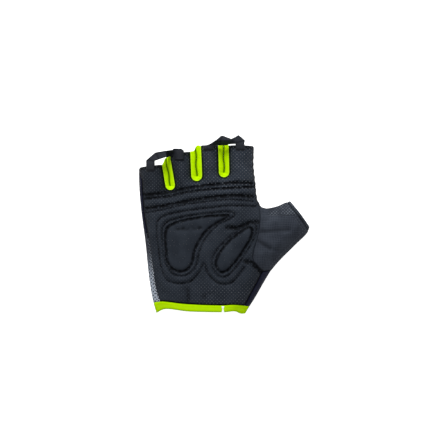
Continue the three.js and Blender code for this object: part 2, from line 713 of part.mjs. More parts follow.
const gloveArea = prism(gloveOutline());
const shell = backShell();
const glove = new THREE.Group();
glove.name = 'fitness_glove';
glove.add(piece('palm_panel', palmPanel(), 'charcoal'));
glove.add(piece('thumb_panel', thumbPanel(), 'charcoalGrid'));
glove.add(piece('back_panel', shell.subtract(meshArea(-GAP / 2)), 'navy'));
glove.add(piece('side_mesh', shell.intersect(meshArea(GAP / 2)), 'greyMesh'));
SLOTS.forEach((slot, i) => {
  glove.add(piece(`gusset_${slot.name}`, gusset(slot, FINGERS[i], FINGERS[i + 1]), 'lime'));
});
for (const ribbon of RIBBONS) {
  glove.add(piece(`pull_loop_${ribbon.name}`, pullLoop(ribbon), 'black'));
}
glove.add(piece('thumb_binding', bindingRing(
  thumbBindingOutline(), thumbRows(THUMB_BINDING_ROWS), [THUMB_LOWER_EDGE, THUMB_UPPER_EDGE]), 'black'));
glove.add(piece('cuff_binding', bindingRing(
  [...CUFF_LOWER, ...[...CUFF_UPPER].reverse()],
  handRows(CUFF_ROWS, backColumns), [LEFT_EDGE, RIGHT_EDGE]), 'lime'));

export default glove;
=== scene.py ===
import bpy
import numpy as np
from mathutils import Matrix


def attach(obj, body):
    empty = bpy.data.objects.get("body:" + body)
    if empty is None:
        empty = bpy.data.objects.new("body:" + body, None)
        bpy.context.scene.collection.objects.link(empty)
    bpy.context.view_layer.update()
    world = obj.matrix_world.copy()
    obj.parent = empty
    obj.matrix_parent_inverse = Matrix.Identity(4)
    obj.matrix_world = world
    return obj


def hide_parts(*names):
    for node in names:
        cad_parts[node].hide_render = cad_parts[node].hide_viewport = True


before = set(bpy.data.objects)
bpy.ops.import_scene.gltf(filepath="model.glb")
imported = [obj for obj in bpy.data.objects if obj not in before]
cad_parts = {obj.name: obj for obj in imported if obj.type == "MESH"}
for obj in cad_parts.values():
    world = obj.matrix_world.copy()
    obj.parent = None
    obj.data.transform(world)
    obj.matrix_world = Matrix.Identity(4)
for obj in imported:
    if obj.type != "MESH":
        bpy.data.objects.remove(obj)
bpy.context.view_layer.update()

# Palm
# The palm is one piece of charcoal synthetic suede over thin foam, cut out to the four fingertips.
# Channels are pressed into the foam, and its edge is turned in and sewn to the side strips, the
# gussets and the thumb. All plan points are millimetres: x towards the thumb, y to the fingertips.
MM = 0.001

# How the glove lies: the side seam, and how far palm, fingers and thumb rise over it within a roll
SEAM_HEIGHT = 4.5
SEAM_DEPTH = 3.0
PALM_RISE = 11.5
PALM_ROLL = 18.0
FINGER_RISE = 9.0
FINGER_ROLL = 10.0
FINGERS_START = (15.0, 42.0)
THUMB_RISE = 10.0
THUMB_ROLL = 13.5
THUMB_START = (26.0, 46.0)
BACK_ROLL = 8.0
WRIST_FALL = 0.2
WRIST_START = (-30.0, -75.0)
SLOT_SHOULDER = 2.0
SIDE_ROUND = 1.8

# The stitched edge of the index finger: its stitches, its pucker, and where that sets in and ends
EDGE_STITCH = 5.55
EDGE_FIRST = 51.5
EDGE_PUCKER = 0.5
EDGE_FULL = 0.4
EDGE_SIDE = (18.0, 22.0)
EDGE_LOW = (12.0, 17.0)
EDGE_HIGH = (62.0, 58.0)
EDGE_FADE = (5.0, 1.0)

# The palm's cut, its cloth and seams, and the relief pressed into its foam
CORNER_ROUND = 1.8
PALM_WALL = 3.0
PALM_SWELL = 3.0
PALM_BOX = ((-74, -71), (34, 69))
SEAM_GAP = 0.12
FLAT_SEAM = 0.7
HEM_TURN = 0.85
INNER_TURN = 0.6
THINNEST = 0.1
PALM_STEP = 0.56
PAD_PUFF = 1.3
PUFF_REACH = 2.4
CHANNEL_DROP = 1.0
UNEVEN_PRESS = 0.28
PALM_RIPPLE = 0.14

SIDE_EDGES = {
    "left": [(-56, -84), (-58.5, -75), (-61, -66), (-64.3, -47), (-67.6, -16), (-71.2, 12), (-73, 34),
             (-73, 60), (-73, 84)],
    "index": [(26, 84), (25.2, 62), (24.6, 52), (26.2, 36), (28.2, 20.5), (31.8, 14.8), (36, 13.4)],
    "thumb_upper": [(36, 13.4), (41, 14.3), (48.1, 16.5), (56.3, 19.7), (64, 23)],
    "thumb_lower": [(76, 6), (72.9, -2.4), (70.6, -7.6), (60.7, -17.5), (46.9, -31.3), (39.1, -40.5)],
    "wrist": [(39.1, -40.5), (33.1, -50.6), (26.7, -61.9), (20.4, -71.9), (17.2, -77.2), (13.4, -84)],
}
MESH_SEAM = [(-55.4, -66.5), (-59.1, -56.5), (-62.1, -37), (-64.4, -18), (-66.6, -4), (-68.8, 8), (-70.2, 30),
             (-70.8, 38), (-76, 47)]
STRIP_SEAM = [(17, -69.6), (21.9, -60.5), (28, -49), (32.5, -40.5)]
THUMB_SEAM = [(32.5, -40.5), (24.6, -31), (25, -22), (28.6, -9), (30.4, 6), (28.4, 24)]
CUFF_SEAM = [(-62, -67.4), (-54.2, -65.8), (-32.3, -67.8), (-3, -68.9), (9, -68.5), (22.5, -70.4)]
THUMB_ROOT_Y = -40.5

# Each finger's edge runs between two points, and each slot from its round lower end to its top
FINGER_ENDS = [(-74, 48.4), (-49.01, 51.4), (-49, 59.6), (-25.01, 62.4), (-25, 67.2), (-1.21, 67.4),
               (-1.2, 67.4), (26, 66.8)]
SLOTS = {
    "little_ring": {"end": (-46.3, 33.2), "top": (-50.2, 56), "width": 8.3},
    "ring_middle": {"end": (-23.7, 41.5), "top": (-24.7, 66), "width": 9.6},
    "middle_index": {"end": (-0.3, 44.5), "top": (-0.9, 67), "width": 9.2},
}

# Pressed channels: bold ones over the knuckles, deep ones round the pads, shallow ones a little
# beside them, and soft creases. The lines follow the shaded upper side of each channel, so all of
# them are dropped a little. The dark of each kind is painted shade laid along its channels
BOLD = {"depth": 1.8, "width": 1.7, "dark": 1.0}
DEEP = {"depth": 1.4, "width": 1.3, "dark": 0.95}
SHALLOW = {"depth": 1.0, "width": 1.1, "dark": 0.5}
CREASE = {"depth": 0.9, "width": 2.3, "dark": 0.42}
FOLD = {"depth": 1.5, "width": 2.2, "dark": 0.9}
CHANNELS = {
    "knuckle_upper": {"press": BOLD, "points": [
        (-70, 26), (-58.9, 26.3), (-41.7, 29.6), (-17.6, 33.4), (9.9, 36.2), (23, 35.8)]},
    "knuckle_upper_line": {"press": DEEP, "points": [
        (-70, 22.6), (-58.9, 23.4), (-45.1, 25.2), (-31.4, 28.3), (-10.8, 30.7), (9.9, 32),
        (25.4, 32.7)]},
    "knuckle_middle": {"press": BOLD, "points": [
        (-67, 14), (-55.5, 15.7), (-41.7, 18.3), (-17.6, 22.8), (9.9, 25.2), (24, 24.3)]},
    "knuckle_middle_line": {"press": SHALLOW, "points": [
        (-66.5, 10.6), (-52, 13.1), (-38.3, 16.6), (-17.6, 19.7), (3, 21.7), (24, 20.4)]},
    "heel_outer": {"press": SHALLOW, "points": [
        (26.7, 16), (3, 16.3), (-10.8, 14.8), (-31.4, 12.3), (-45.1, 9.7), (-52, 7.4), (-56.8, 3.2),
        (-57.6, -4.9), (-55.8, -21), (-53.4, -37.2), (-48.7, -46.6), (-37.8, -49.4), (-28.6, -47.6),
        (-22.6, -41.6), (-17.6, -32.8)]},
    "heel_pad": {"press": SHALLOW, "closed": True, "points": [
        (-53, -10.7), (-52.7, -3.5), (-50, 1.5), (-44.3, 4.4), (-33.5, 7.2), (-15.6, 9.7), (5.9, 11),
        (8.9, 9), (4.8, 5.4), (-2.7, 1.9), (-8.8, -2.4), (-14.5, -9.2), (-18.8, -16.4), (-21.7, -23.6),
        (-22.9, -30.7), (-25.7, -37.2), (-31.4, -41.9), (-37.1, -43.1), (-43.6, -41.1), (-47.9, -36.1),
        (-51.1, -27.9), (-52.3, -19.3)]},
    "heel_pad_inner": {"press": DEEP, "closed": True, "points": [
        (-50, -10.7), (-49.7, -4.9), (-47.5, -1.4), (-42.9, 1.5), (-33.5, 4.4), (-15.6, 7.4),
        (-4.2, 8.3), (3.6, 8.2), (1.6, 6.4), (-4.9, 2.9), (-11.3, -1.4), (-17.1, -6.4), (-21, -12.8),
        (-24.2, -18.6), (-26.2, -25), (-27.4, -31.5), (-30.7, -36.8), (-36.4, -39), (-42.1, -38.1),
        (-46.4, -34.3), (-49, -27.9), (-49.5, -19.3)]},
    "heel_crease": {"press": CREASE, "points": [
        (-41, -2.6), (-36, -3), (-28, -2.6), (-20, -2.2)]},
    "thumb_pad": {"press": SHALLOW, "closed": True, "points": [
        (23.1, 1.5), (13, -4.2), (5.9, -9.2), (-1.3, -15.7), (-7, -22.1), (-10.2, -28.6), (-9.9, -35.8),
        (-6.3, -41.9), (-1.3, -44), (3.4, -42.2), (9.5, -35.8), (15.2, -27.9), (20.2, -20),
        (24.2, -12.8), (26.9, -5.7), (26.4, 0.1)]},
    "thumb_pad_inner": {"press": DEEP, "closed": True, "points": [
        (20.2, -1.7), (11.6, -7.1), (4.4, -12.8), (-1.3, -19.3), (-4.9, -24.7), (-7.2, -30),
        (-6.2, -36.5), (-2.7, -39.9), (2.3, -38.3), (8.7, -31.5), (14.1, -24.3), (18.8, -16.8),
        (22.7, -9.2), (23.4, -3.5)]},
    "thumb_pad_outer": {"press": SHALLOW, "points": [
        (-16.3, -33.8), (-14.6, -39.6), (-10, -45.4), (-5.2, -49), (1, -50.2), (6.2, -48.4),
        (11.8, -43), (16.6, -35.8)]},
    "thumb_pad_tip": {"press": FOLD, "points": [
        (3, -2), (12, -2), (20, 1.6), (28, 3.2)]},
    "wrist_crease": {"press": CREASE, "points": [
        (-31.8, -53.6), (-30.6, -60), (-31.1, -66.4)]},
    "wrist_fold": {"press": CREASE, "points": [
        (-17, -60.5), (-13.5, -57.6), (-10, -57.6)]},
    "thumb_root": {"press": FOLD, "points": [
        (17.6, -30.2), (21.3, -31.2), (25, -33.2), (29.9, -38.6), (34, -42)]},
}
PADS = [
    {"middle": (-36, -18), "half": (22, 14), "turn": 100},
    {"middle": (6, -22), "half": (22, 9), "turn": 52},
]
PAD_DOME = 1.2


def smooth_line(points, closed=False, spacing=1.5):
    """A centripetal Catmull-Rom curve: each span is a cubic whose end slopes come from its
    neighbours, weighted by the square roots of the spans, and its points are then spaced evenly."""
    p = np.array(points, float)
    p = np.vstack([p[-1:], p, p[:2]]) if closed else np.vstack([2 * p[0] - p[1], p, 2 * p[-1] - p[-2]])
    a, b, c, d = p[:-3], p[1:-2], p[2:-1], p[3:]
    before, span, after = (np.sqrt(np.linalg.norm(far - near, axis=1))[:, None]
                           for near, far in ((a, b), (b, c), (c, d)))
    start = ((b - a) / before - (c - a) / (before + span)) * span + (c - b)
    end = (c - b) + ((d - c) / after - (d - b) / (span + after)) * span
    t = np.linspace(0, 1, 24, endpoint=False)[None, :, None]
    b, c, start, end = (v[:, None] for v in (b, c, start, end))
    curve = (2 * t**3 - 3 * t**2 + 1) * b + (t**3 - 2 * t**2 + t) * start
    curve = curve + (3 * t**2 - 2 * t**3) * c + (t**3 - t**2) * end
    curve = np.vstack([curve.reshape(-1, 2), p[-2]])
    reach = np.concatenate([[0], np.cumsum(np.linalg.norm(np.diff(curve, axis=0), axis=1))])
    even = np.linspace(0, reach[-1], max(int(round(reach[-1] / spacing)), 1) + 1)
    return np.column_stack([np.interp(even, reach, curve[:, 0]), np.interp(even, reach, curve[:, 1])])


def line_distance(x, y, line):
    """Distance to the nearest segment of a line: a point's foot on a segment stays between its ends."""
    nearest = np.full(np.shape(x), np.inf)
    for a, b in zip(line[:-1], line[1:]):
        along = b - a
        share = np.clip(((x - a[0]) * along[0] + (y - a[1]) * along[1]) / (along @ along), 0, 1)
        nearest = np.minimum(nearest, np.hypot(x - a[0] - share * along[0], y - a[1] - share * along[1]))
    return nearest


def polygon_distance(x, y, polygon):
    """Distance to a closed outline, over 0 inside it: a point is inside if a ray from it to the
    left crosses the outline an odd number of times."""
    ring = np.vstack([polygon, polygon[:1]])
    inside = np.zeros(np.shape(x), bool)
    for a, b in zip(ring[:-1], ring[1:]):
        if a[1] != b[1]:
            inside ^= ((a[1] > y) != (b[1] > y)) & (x < a[0] + (y - a[1]) * (b[0] - a[0]) / (b[1] - a[1]))
    return np.where(inside, 1, -1) * line_distance(x, y, ring)


EDGE_LINES = {name: smooth_line(points) for name, points in SIDE_EDGES.items()}
ENVELOPE_ORDER = ("left", "wrist", "thumb_lower", "thumb_upper", "index")
ENVELOPE = np.vstack([EDGE_LINES[name][:0:-1] for name in ENVELOPE_ORDER])


def side_distance(x, y):
    """Distance inwards to the nearest side edge of the glove, and under 0 outside the glove. The
    index finger's edge swells between the stitches that pull it in, as a cosine along the edge."""
    nearest = np.min([line_distance(x, y, line) for line in EDGE_LINES.values()], axis=0)
    whipped = smooth_step(x, *EDGE_SIDE) * smooth_step(y, *EDGE_LOW) * smooth_step(y, *EDGE_HIGH)
    wave = 0.5 - 0.5 * np.cos(2 * np.pi * (y - EDGE_FIRST) / EDGE_STITCH)
    pull = (EDGE_PUCKER * wave - EDGE_FULL) * whipped
    return nearest * np.sign(polygon_distance(x, y, ENVELOPE)) - pull * smooth_step(nearest, *EDGE_FADE)


def rounded_least(first, second):
    """The lesser of two distances, with a round corner where both edges are near."""
    corner = CORNER_ROUND - np.hypot(CORNER_ROUND - first, CORNER_ROUND - second)
    return np.where((first < CORNER_ROUND) & (second < CORNER_ROUND), corner, np.minimum(first, second))


def seam_x(points, y):
    """Where a seam that runs up the glove is at each height y."""
    line = smooth_line(points)
    return np.interp(y, line[:, 1], line[:, 0])


def seam_y(points, x):
    """Where a seam that runs across the glove is at each x."""
    line = smooth_line(points)
    return np.interp(x, line[:, 0], line[:, 1])


def slot_distance(x, y, slot):
    """Distance to the middle line of a slot, from its round lower end up past the fingertips."""
    end, top = np.array(slot["end"], float), np.array(slot["top"], float)
    return line_distance(x, y, np.array([end, end + 3 * (top - end)]))


def finger_top(x):
    """The height of the finger openings' edge, which steps at each slot."""
    ends = np.array(FINGER_ENDS)
    return np.interp(x, ends[:, 0], ends[:, 1])


def quarter(share):
    """Quarter sine: 0 at the edge and level from 1 on."""
    return np.sin(np.pi / 2 * np.clip(share, 0, 1))


def quarter_round(share):
    """Quarter circle: upright at 0 and level from 1 on."""
    return np.sqrt(1 - (1 - np.clip(share, 0, 1)) ** 2)


def smooth_step(value, low, high):
    """0 up to low, 1 past high, and a smooth cubic between. With low over high it falls instead."""
    share = np.clip((value - low) / (high - low), 0, 1)
    return share**2 * (3 - 2 * share)


def upper_face(x, y):
    """Height of the cloth over the hand: half the seam's depth and a quarter sine of the distance to
    the nearest side or slot, rounded over at the side seam. Fingers and thumb rise less than the
    palm but within a shorter way, so each is a tube of its own, and the wrist is a little lower."""
    side = side_distance(x, y)
    distance = side
    for slot in SLOTS.values():
        clear = np.maximum(slot_distance(x, y, slot) - slot["width"] / 2, 0)
        distance = np.minimum(distance, clear + SLOT_SHOULDER)
    on_fingers = smooth_step(y, *FINGERS_START)
    on_thumb = smooth_step(x, *THUMB_START) * (1 - on_fingers)
    on_palm = 1 - on_fingers - on_thumb
    palm_rise = PALM_RISE * (1 - WRIST_FALL * smooth_step(y, *WRIST_START))
    rise = palm_rise * on_palm + FINGER_RISE * on_fingers + THUMB_RISE * on_thumb
    roll = PALM_ROLL * on_palm + FINGER_ROLL * on_fingers + THUMB_ROLL * on_thumb
    height = SEAM_DEPTH / 2 + rise * quarter(distance / roll)
    return SEAM_HEIGHT + height * quarter_round(side / SIDE_ROUND)


def under_face(x, y):
    """Height of the cloth under the hand: flat on the floor, and rolled up to the side seam."""
    side = side_distance(x, y)
    depth = SEAM_DEPTH / 2 + (SEAM_HEIGHT - SEAM_DEPTH / 2) * quarter(side / BACK_ROLL)
    return SEAM_HEIGHT - depth * quarter_round(side / SIDE_ROUND)


def pad_dome(x, y):
    """Extra height of the two soft pads, a low dome on each ellipse."""
    height = np.zeros(np.shape(x))
    for pad in PADS:
        turn = np.radians(pad["turn"])
        dx, dy = x - pad["middle"][0], y - pad["middle"][1]
        along = (dx * np.cos(turn) + dy * np.sin(turn)) / pad["half"][0]
        across = (dy * np.cos(turn) - dx * np.sin(turn)) / pad["half"][1]
        height = np.maximum(height, PAD_DOME * (1 - np.minimum(along**2 + across**2, 1)))
    return height


CHANNEL_LINES = {name: smooth_line(channel["points"], channel.get("closed", False)) - (0, CHANNEL_DROP)
                 for name, channel in CHANNELS.items()}


def palm_relief(x, y):
    """The channels' relief: every channel is a bell curve across its line, less deep in places, and
    the foam swells with the distance from the channels. Gives the height, and the painted shade that
    lies along the channels."""
    uneven = np.sin(0.9 * x + 1.7 * np.sin(0.55 * y)) * np.sin(0.8 * y + 1.3 * np.sin(0.5 * x))
    pressed = np.zeros(np.shape(x))
    dark = np.zeros(np.shape(x))
    nearest = np.full(np.shape(x), np.inf)
    for name, line in CHANNEL_LINES.items():
        distance = line_distance(x, y, line)
        press = CHANNELS[name]["press"]
        bell = np.exp(-((distance / press["width"]) ** 2)) * (1 - UNEVEN_PRESS + UNEVEN_PRESS * uneven)
        pressed = np.maximum(pressed, press["depth"] * bell)
        dark = np.maximum(dark, press["dark"] * bell)
        if press is not CREASE:
            nearest = np.minimum(nearest, distance)
    puff = PAD_PUFF * (1 - np.exp(-nearest / PUFF_REACH))
    ripple = PALM_RIPPLE * np.sin(0.31 * x + 0.9 * np.sin(0.21 * y)) * np.sin(0.27 * y + 1.3)
    return pad_dome(x, y) + puff - PAD_PUFF / 2 - pressed + ripple, dark


def palm_edges(x, y):
    """Distance inwards from the palm's turned edges, and from its flat seam with the thumb."""
    at_thumb = y > THUMB_ROOT_Y
    flat_seam = np.where(at_thumb, seam_x(THUMB_SEAM, y) - SEAM_GAP - x, np.inf)
    strip_seam = np.where(at_thumb, np.inf, seam_x(STRIP_SEAM, y) - SEAM_GAP - x)
    turned = [rounded_least(side_distance(x, y), finger_top(x) - y), strip_seam,
              x - seam_x(MESH_SEAM, y) - SEAM_GAP, y - seam_y(CUFF_SEAM, x) - SEAM_GAP]
    turned += [slot_distance(x, y, slot) - slot["width"] / 2 for slot in SLOTS.values()]
    return np.min(turned, axis=0), flat_seam


def palm_region(x, y):
    """Distance inwards from the palm's cut edge: the least of its distances to all its seams."""
    return np.minimum(*palm_edges(x, y))


def cut_cells(region, low, high, step):
    """Square cells whose middle lies inside the region. The points on their rim are then moved onto
    the line where the region's distance is 0, by that distance against its slope."""
    columns, rows = (np.arange(low[axis], high[axis] + step, step) for axis in (0, 1))
    x, y = np.meshgrid(columns, rows)
    kept = region(x[:-1, :-1] + step / 2, y[:-1, :-1] + step / 2) > 0
    corner = np.arange(x.size).reshape(x.shape)
    cells = np.stack([corner[:-1, :-1], corner[:-1, 1:], corner[1:, 1:], corner[1:, :-1]], axis=-1)[kept]
    used, cells = np.unique(cells, return_inverse=True)
    cells = cells.reshape(-1, 4)
    plan = np.column_stack([x.ravel()[used], y.ravel()[used]])
    edges = np.concatenate([cells[:, [side, (side + 1) % 4]] for side in range(4)])
    forward, backward = edges @ (len(plan), 1), edges @ (1, len(plan))
    rim = edges[~np.isin(forward, backward)]
    on_rim = np.unique(rim)
    probe = step / 4
    for _ in range(3):
        px, py = plan[on_rim].T
        slope = np.column_stack([region(px + probe, py) - region(px - probe, py),
                                 region(px, py + probe) - region(px, py - probe)]) / (2 * probe)
        steepness = np.clip((slope**2).sum(axis=1), 0.3, None)
        plan[on_rim] -= slope * (np.clip(region(px, py), -step, step) / steepness)[:, None]
    return plan, cells, rim


def sheet_mesh(plan, cells, rim, upper, lower):
    """A closed sheet: the cells at their upper heights, the same cells turned over at their lower
    heights, and a wall round the rim."""
    count = len(plan)
    points = np.vstack([np.column_stack([plan, upper]), np.column_stack([plan, lower])])
    start, end = rim.T
    wall = np.column_stack([start, start + count, end + count, end])
    return points, np.vstack([cells, cells[:, ::-1] + count, wall])


def hem(distance, wall):
    """How far a sheet's face turns in at its cut edge: a quarter circle of nearly half its wall."""
    reach = wall / 2
    return HEM_TURN * reach * (1 - quarter_round(distance / reach))


def padded_faces(x, y, edges, relief, wall, swell):
    """The upper and lower heights of a padded piece: the cloth with a relief that sets in over the
    swell from its seams, turned in at its edges, and the same a wall lower."""
    turned_edge, flat_seam = edges
    outer = upper_face(x, y) + relief * quarter(np.minimum(turned_edge, flat_seam) / swell)
    turned_in = np.maximum(hem(turned_edge, wall), hem(flat_seam, FLAT_SEAM))
    upper = outer - turned_in
    lower = np.maximum(outer - wall + INNER_TURN * turned_in, SEAM_HEIGHT + THINNEST)
    return upper, np.minimum(lower, upper - THINNEST)


def by_edge(distance, amount, near, far):
    """An amount beside an edge: all of it up to the near distance, and none from the far one on."""
    return amount * (1 - smooth_step(distance, near, far))


def put_mesh(name, shape, cloth, **values):
    """A shape in millimetres becomes a smooth mesh object in metres that rides on the glove. Each
    named value is stored for every point, for its cloth to read. A sheet's lower face repeats the
    values of its upper one."""
    points, faces = shape
    mesh = bpy.data.meshes.new(name)
    mesh.from_pydata((points * MM).tolist(), [], faces.tolist())
    mesh.shade_smooth()
    for label, numbers in values.items():
        layer = mesh.attributes.new(label, "FLOAT", "POINT")
        layer.data.foreach_set("value", np.resize(np.asarray(numbers, np.float32), len(points)))
    mesh.materials.append(cloth.material)
    mesh.validate()
    piece = bpy.data.objects.new(name, mesh)
    bpy.context.scene.collection.objects.link(piece)
    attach(piece, "root")
    return piece


class Nodes:
    """A short way to add nodes to a material or a node group and to link their sockets."""

    def __init__(self, tree):
        self.tree = tree

    def feed(self, socket, value):
        """An input socket takes a link from an output socket, or a plain value or colour."""
        if isinstance(value, bpy.types.NodeSocket):
            self.tree.links.new(value, socket)
        else:
            socket.default_value = (*value, 1) if socket.type == "RGBA" else value

    def add(self, kind, inputs=(), **settings):
        """A node with its settings. Each input is a value, or an output socket to link to it."""
        node = self.tree.nodes.new(kind)
        for name, value in settings.items():
            setattr(node, name, value)
        for name, value in dict(inputs).items():
            self.feed(node.inputs[name], value)
        return node

    def use(self, group, output, **inputs):
        """One output of a node group that is placed with its own values."""
        return self.add("ShaderNodeGroup", inputs, node_tree=group.tree).outputs[output]

    def math(self, operation, first, second=0.0):
        """The result of one sum on two numbers or sockets."""
        return self.add("ShaderNodeMath", {0: first, 1: second}, operation=operation).outputs[0]

    def scaled(self, vector, factor):
        """A vector or a colour times a number."""
        return self.add("ShaderNodeVectorMath", {0: vector, "Scale": factor}, operation="SCALE").outputs[0]

    def fade(self, value, low, high):
        """0 where the value is low, 1 where it is high, and smooth between."""
        inputs = {"Value": value, "From Min": low, "From Max": high}
        return self.add("ShaderNodeMapRange", inputs, interpolation_type="SMOOTHSTEP").outputs["Result"]

    def mix(self, share, first, second):
        """A colour between two colours."""
        return self.add("ShaderNodeMix", {"Factor": share, 6: first, 7: second}, data_type="RGBA").outputs[2]


class Cloth(Nodes):
    """The nodes of a new cloth material, with its plain shader: roughness and how much it mirrors."""

    def __init__(self, name, roughness, gloss):
        self.material = bpy.data.materials.new(name)
        self.material.use_nodes = True
        super().__init__(self.material.node_tree)
        self.shader = self.tree.nodes["Principled BSDF"]
        self.feed(self.shader.inputs["Roughness"], roughness)
        self.feed(self.shader.inputs["Specular IOR Level"], gloss)
        self.place = self.add("ShaderNodeTexCoord").outputs["Object"]

    def noise(self, scale, detail, output=0):
        """A noise over the cloth: its value, or its colour as output 1."""
        inputs = {"Vector": self.place, "Scale": scale, "Detail": detail}
        return self.add("ShaderNodeTexNoise", inputs).outputs[output]

    def stored(self, label):
        """A value that the mesh stores for every point."""
        return self.add("ShaderNodeAttribute", attribute_name=label).outputs["Fac"]

    def patches(self, noise, spread, first, second):
        """Two colours in soft patches, where a noise is under or over its middle."""
        return self.mix(self.fade(noise, 0.5 - spread, 0.5 + spread), first, second)

    def colour(self, ground):
        """The shader's colour, plain or from a socket."""
        self.feed(self.shader.inputs["Base Color"], ground)

    def bump(self, height, distance, strength):
        """A height in nodes becomes the shader's normal. The distance is in metres."""
        node = self.add("ShaderNodeBump", {"Height": height, "Distance": distance, "Strength": strength})
        self.feed(self.shader.inputs["Normal"], node.outputs["Normal"])


PALM_COLOUR = (0.0103, 0.0133, 0.0188)
PALM_PALE = (0.0152, 0.0192, 0.0262)
PALM_NAP = (0.026, 0.031, 0.0385)
# The colour towards which painted shade darkens the palm, the thumb and the ribbons
PALM_DARK = (0.0012, 0.0018, 0.003)
# Painted light on the fingers, as the light falls on them: lighter towards the index finger and darker at the
# little finger, and where this sets in across and up
LITTLE_LIGHT = 0.7
INDEX_LIGHT = 1.35
LIGHT_ACROSS = (-62, 0)
LIGHT_UP = (18, 34)

# Painted shade beside an edge: how dark it is, how far it stays so, and where it ends
SEWN_SHADE = (0.8, 0.4, 1.8)
TIP_SHADE = (0.55, 2, 4.2)

suede = Cloth("palm_suede", roughness=0.8, gloss=0.08)
nap = suede.noise(1900.0, 2.0)
grain = suede.noise(520.0, 2.0)
ground = suede.patches(suede.noise(90.0, 3.0), 0.15, PALM_COLOUR, PALM_PALE)
ground = suede.mix(suede.math("MULTIPLY", suede.fade(nap, 0.5, 0.75), 0.5), ground, PALM_NAP)
# Painted light: the fingers lighter towards the index finger and darker at the little finger
ground = suede.scaled(ground, suede.stored("nap_light"))
# Painted shade in the channels, along the turned edges and below the fingertips' hems, broken up by the grain
wear_and_painted_shade = suede.math("MULTIPLY", suede.fade(suede.stored("pressed"), 0.05, 0.55), suede.fade(grain, 0.24, 0.5))
suede.colour(suede.mix(wear_and_painted_shade, ground, PALM_DARK))
suede.bump(suede.math("ADD", nap, grain), 0.00014, 0.7)

plan, cells, rim = cut_cells(palm_region, *PALM_BOX, PALM_STEP)
x, y = plan.T
edges = palm_edges(x, y)
relief, dark = palm_relief(x, y)
faces = padded_faces(x, y, edges, relief, PALM_WALL, PALM_SWELL)
# Painted shade: in the channels, along the turned edges and below the fingertips' hems
shades = [dark, by_edge(edges[0], *SEWN_SHADE), by_edge(finger_top(x) - y, *TIP_SHADE)]
# Painted light over the fingers, from the little finger to the index finger
finger_light = LITTLE_LIGHT + (INDEX_LIGHT - LITTLE_LIGHT) * smooth_step(x, *LIGHT_ACROSS)
nap_light = 1 + smooth_step(y, *LIGHT_UP) * (finger_light - 1)
palm = put_mesh("palm", sheet_mesh(plan, cells, rim, *faces), suede,
                pressed=np.max(shades, axis=0), nap_light=nap_light)
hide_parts("palm_panel")

# Grip dots
# Rows of small raised silicone dots are printed on the palm in a diamond pattern, for grip. They are
# largest on the middle and index fingers and at the wrist, and hardly show on the pads.
DOT_PITCH = 2.15
DOT_ROWS = 80
DOT_RING = 8
DOT_LEVELS = np.array([-0.15, 0.12, 0.24])
DOT_SHARES = np.array([1.0, 0.85, 0.4])
DOT_SIZES = (0.34, 0.6)
DOT_SEED = 11
DOT_MARGIN = 1.3
DOT_DEEPEST = 0.5
PAD_DOTS = 0.85

# How large the dots are, and where each kind sets in across and up the glove
FINGER_DOTS = {"size": 1.0, "across": (-50, -10), "up": (24, 34)}
WRIST_DOTS = {"size": 0.7, "across": (-40, -10), "up": (-44, -56)}
KNUCKLE_DOTS = {"size": 0.25, "across": (-75, -74), "up": (5, 20)}
LEAST_DOTS = 0.12
DOT_COLOUR = (0.06, 0.068, 0.082)
DOT_DULL = (0.014, 0.0175, 0.023)
DOT_WORN = (0.0165, 0.0205, 0.026)


def turned_lumps(places, ahead, aside, upward, levels, shares, sides):
    """A closed lump at each place: rings of points round the line ahead, one at each level along it
    and each a share of the reach aside and upward, joined by bands and closed by flat ends."""
    turn = 2 * np.pi * np.arange(sides) / sides
    ring = np.cos(turn)[:, None] * aside[:, None] + np.sin(turn)[:, None] * upward[:, None]
    middles = places[:, None] + levels[:, None] * ahead[:, None]
    points = middles[:, :, None] + shares[:, None, None] * ring[:, None]
    corner = np.arange(len(levels) * sides).reshape(len(levels), sides)
    after = np.roll(corner, -1, axis=1)
    bands = np.stack([corner[:-1], after[:-1], after[1:], corner[1:]], axis=-1).reshape(-1, 4)
    cap = np.array([[0, side, side + 1, side + 2] for side in range(1, sides - 1, 2)])
    faces = np.vstack([bands, cap[:, ::-1], cap + corner[-1, 0]])
    first = np.arange(len(places))[:, None, None] * corner.size
    return points.reshape(-1, 3), (faces[None] + first).reshape(-1, 4)


def dot_growth(x, y, kind):
    """How large the dots of one kind are at each point."""
    return kind["size"] * smooth_step(x, *kind["across"]) * smooth_step(y, *kind["up"])


silicone = Cloth("grip_silicone", roughness=0.45, gloss=0.35)
ground = silicone.patches(silicone.noise(420.0, 1.0), 0.1, DOT_DULL, DOT_COLOUR)
silicone.colour(silicone.mix(silicone.stored("shown"), DOT_WORN, ground))

steps = np.arange(-DOT_ROWS, DOT_ROWS + 1)
across, along = (axis.ravel() for axis in np.meshgrid(steps, steps))
dots = np.column_stack([across - along, across + along]) * DOT_PITCH / np.sqrt(2)
dots = dots[np.all((dots > PALM_BOX[0]) & (dots < PALM_BOX[1]), axis=1)]
dots = dots[(palm_region(*dots.T) > DOT_MARGIN) & (palm_relief(*dots.T)[1] < DOT_DEEPEST)]
wear_and_painted_shade = np.random.default_rng(DOT_SEED).uniform(0.05, 1, len(dots))
pads = [CHANNEL_LINES[name][:-1] for name in ("heel_pad_inner", "thumb_pad_inner")]
on_pad = np.max([polygon_distance(*dots.T, pad) for pad in pads], axis=0) > 0
kept = ~on_pad | (wear_and_painted_shade > PAD_DOTS)
x, y = dots[kept].T
wear_and_painted_shade = wear_and_painted_shade[kept]
share = np.maximum(dot_growth(x, y, FINGER_DOTS), dot_growth(x, y, WRIST_DOTS))
share = np.clip(share + dot_growth(x, y, KNUCKLE_DOTS), LEAST_DOTS, 1)
radii = (DOT_SIZES[0] + (DOT_SIZES[1] - DOT_SIZES[0]) * share) * (0.8 + 0.2 * wear_and_painted_shade)
height = padded_faces(x, y, palm_edges(x, y), palm_relief(x, y)[0], PALM_WALL, PALM_SWELL)[0]
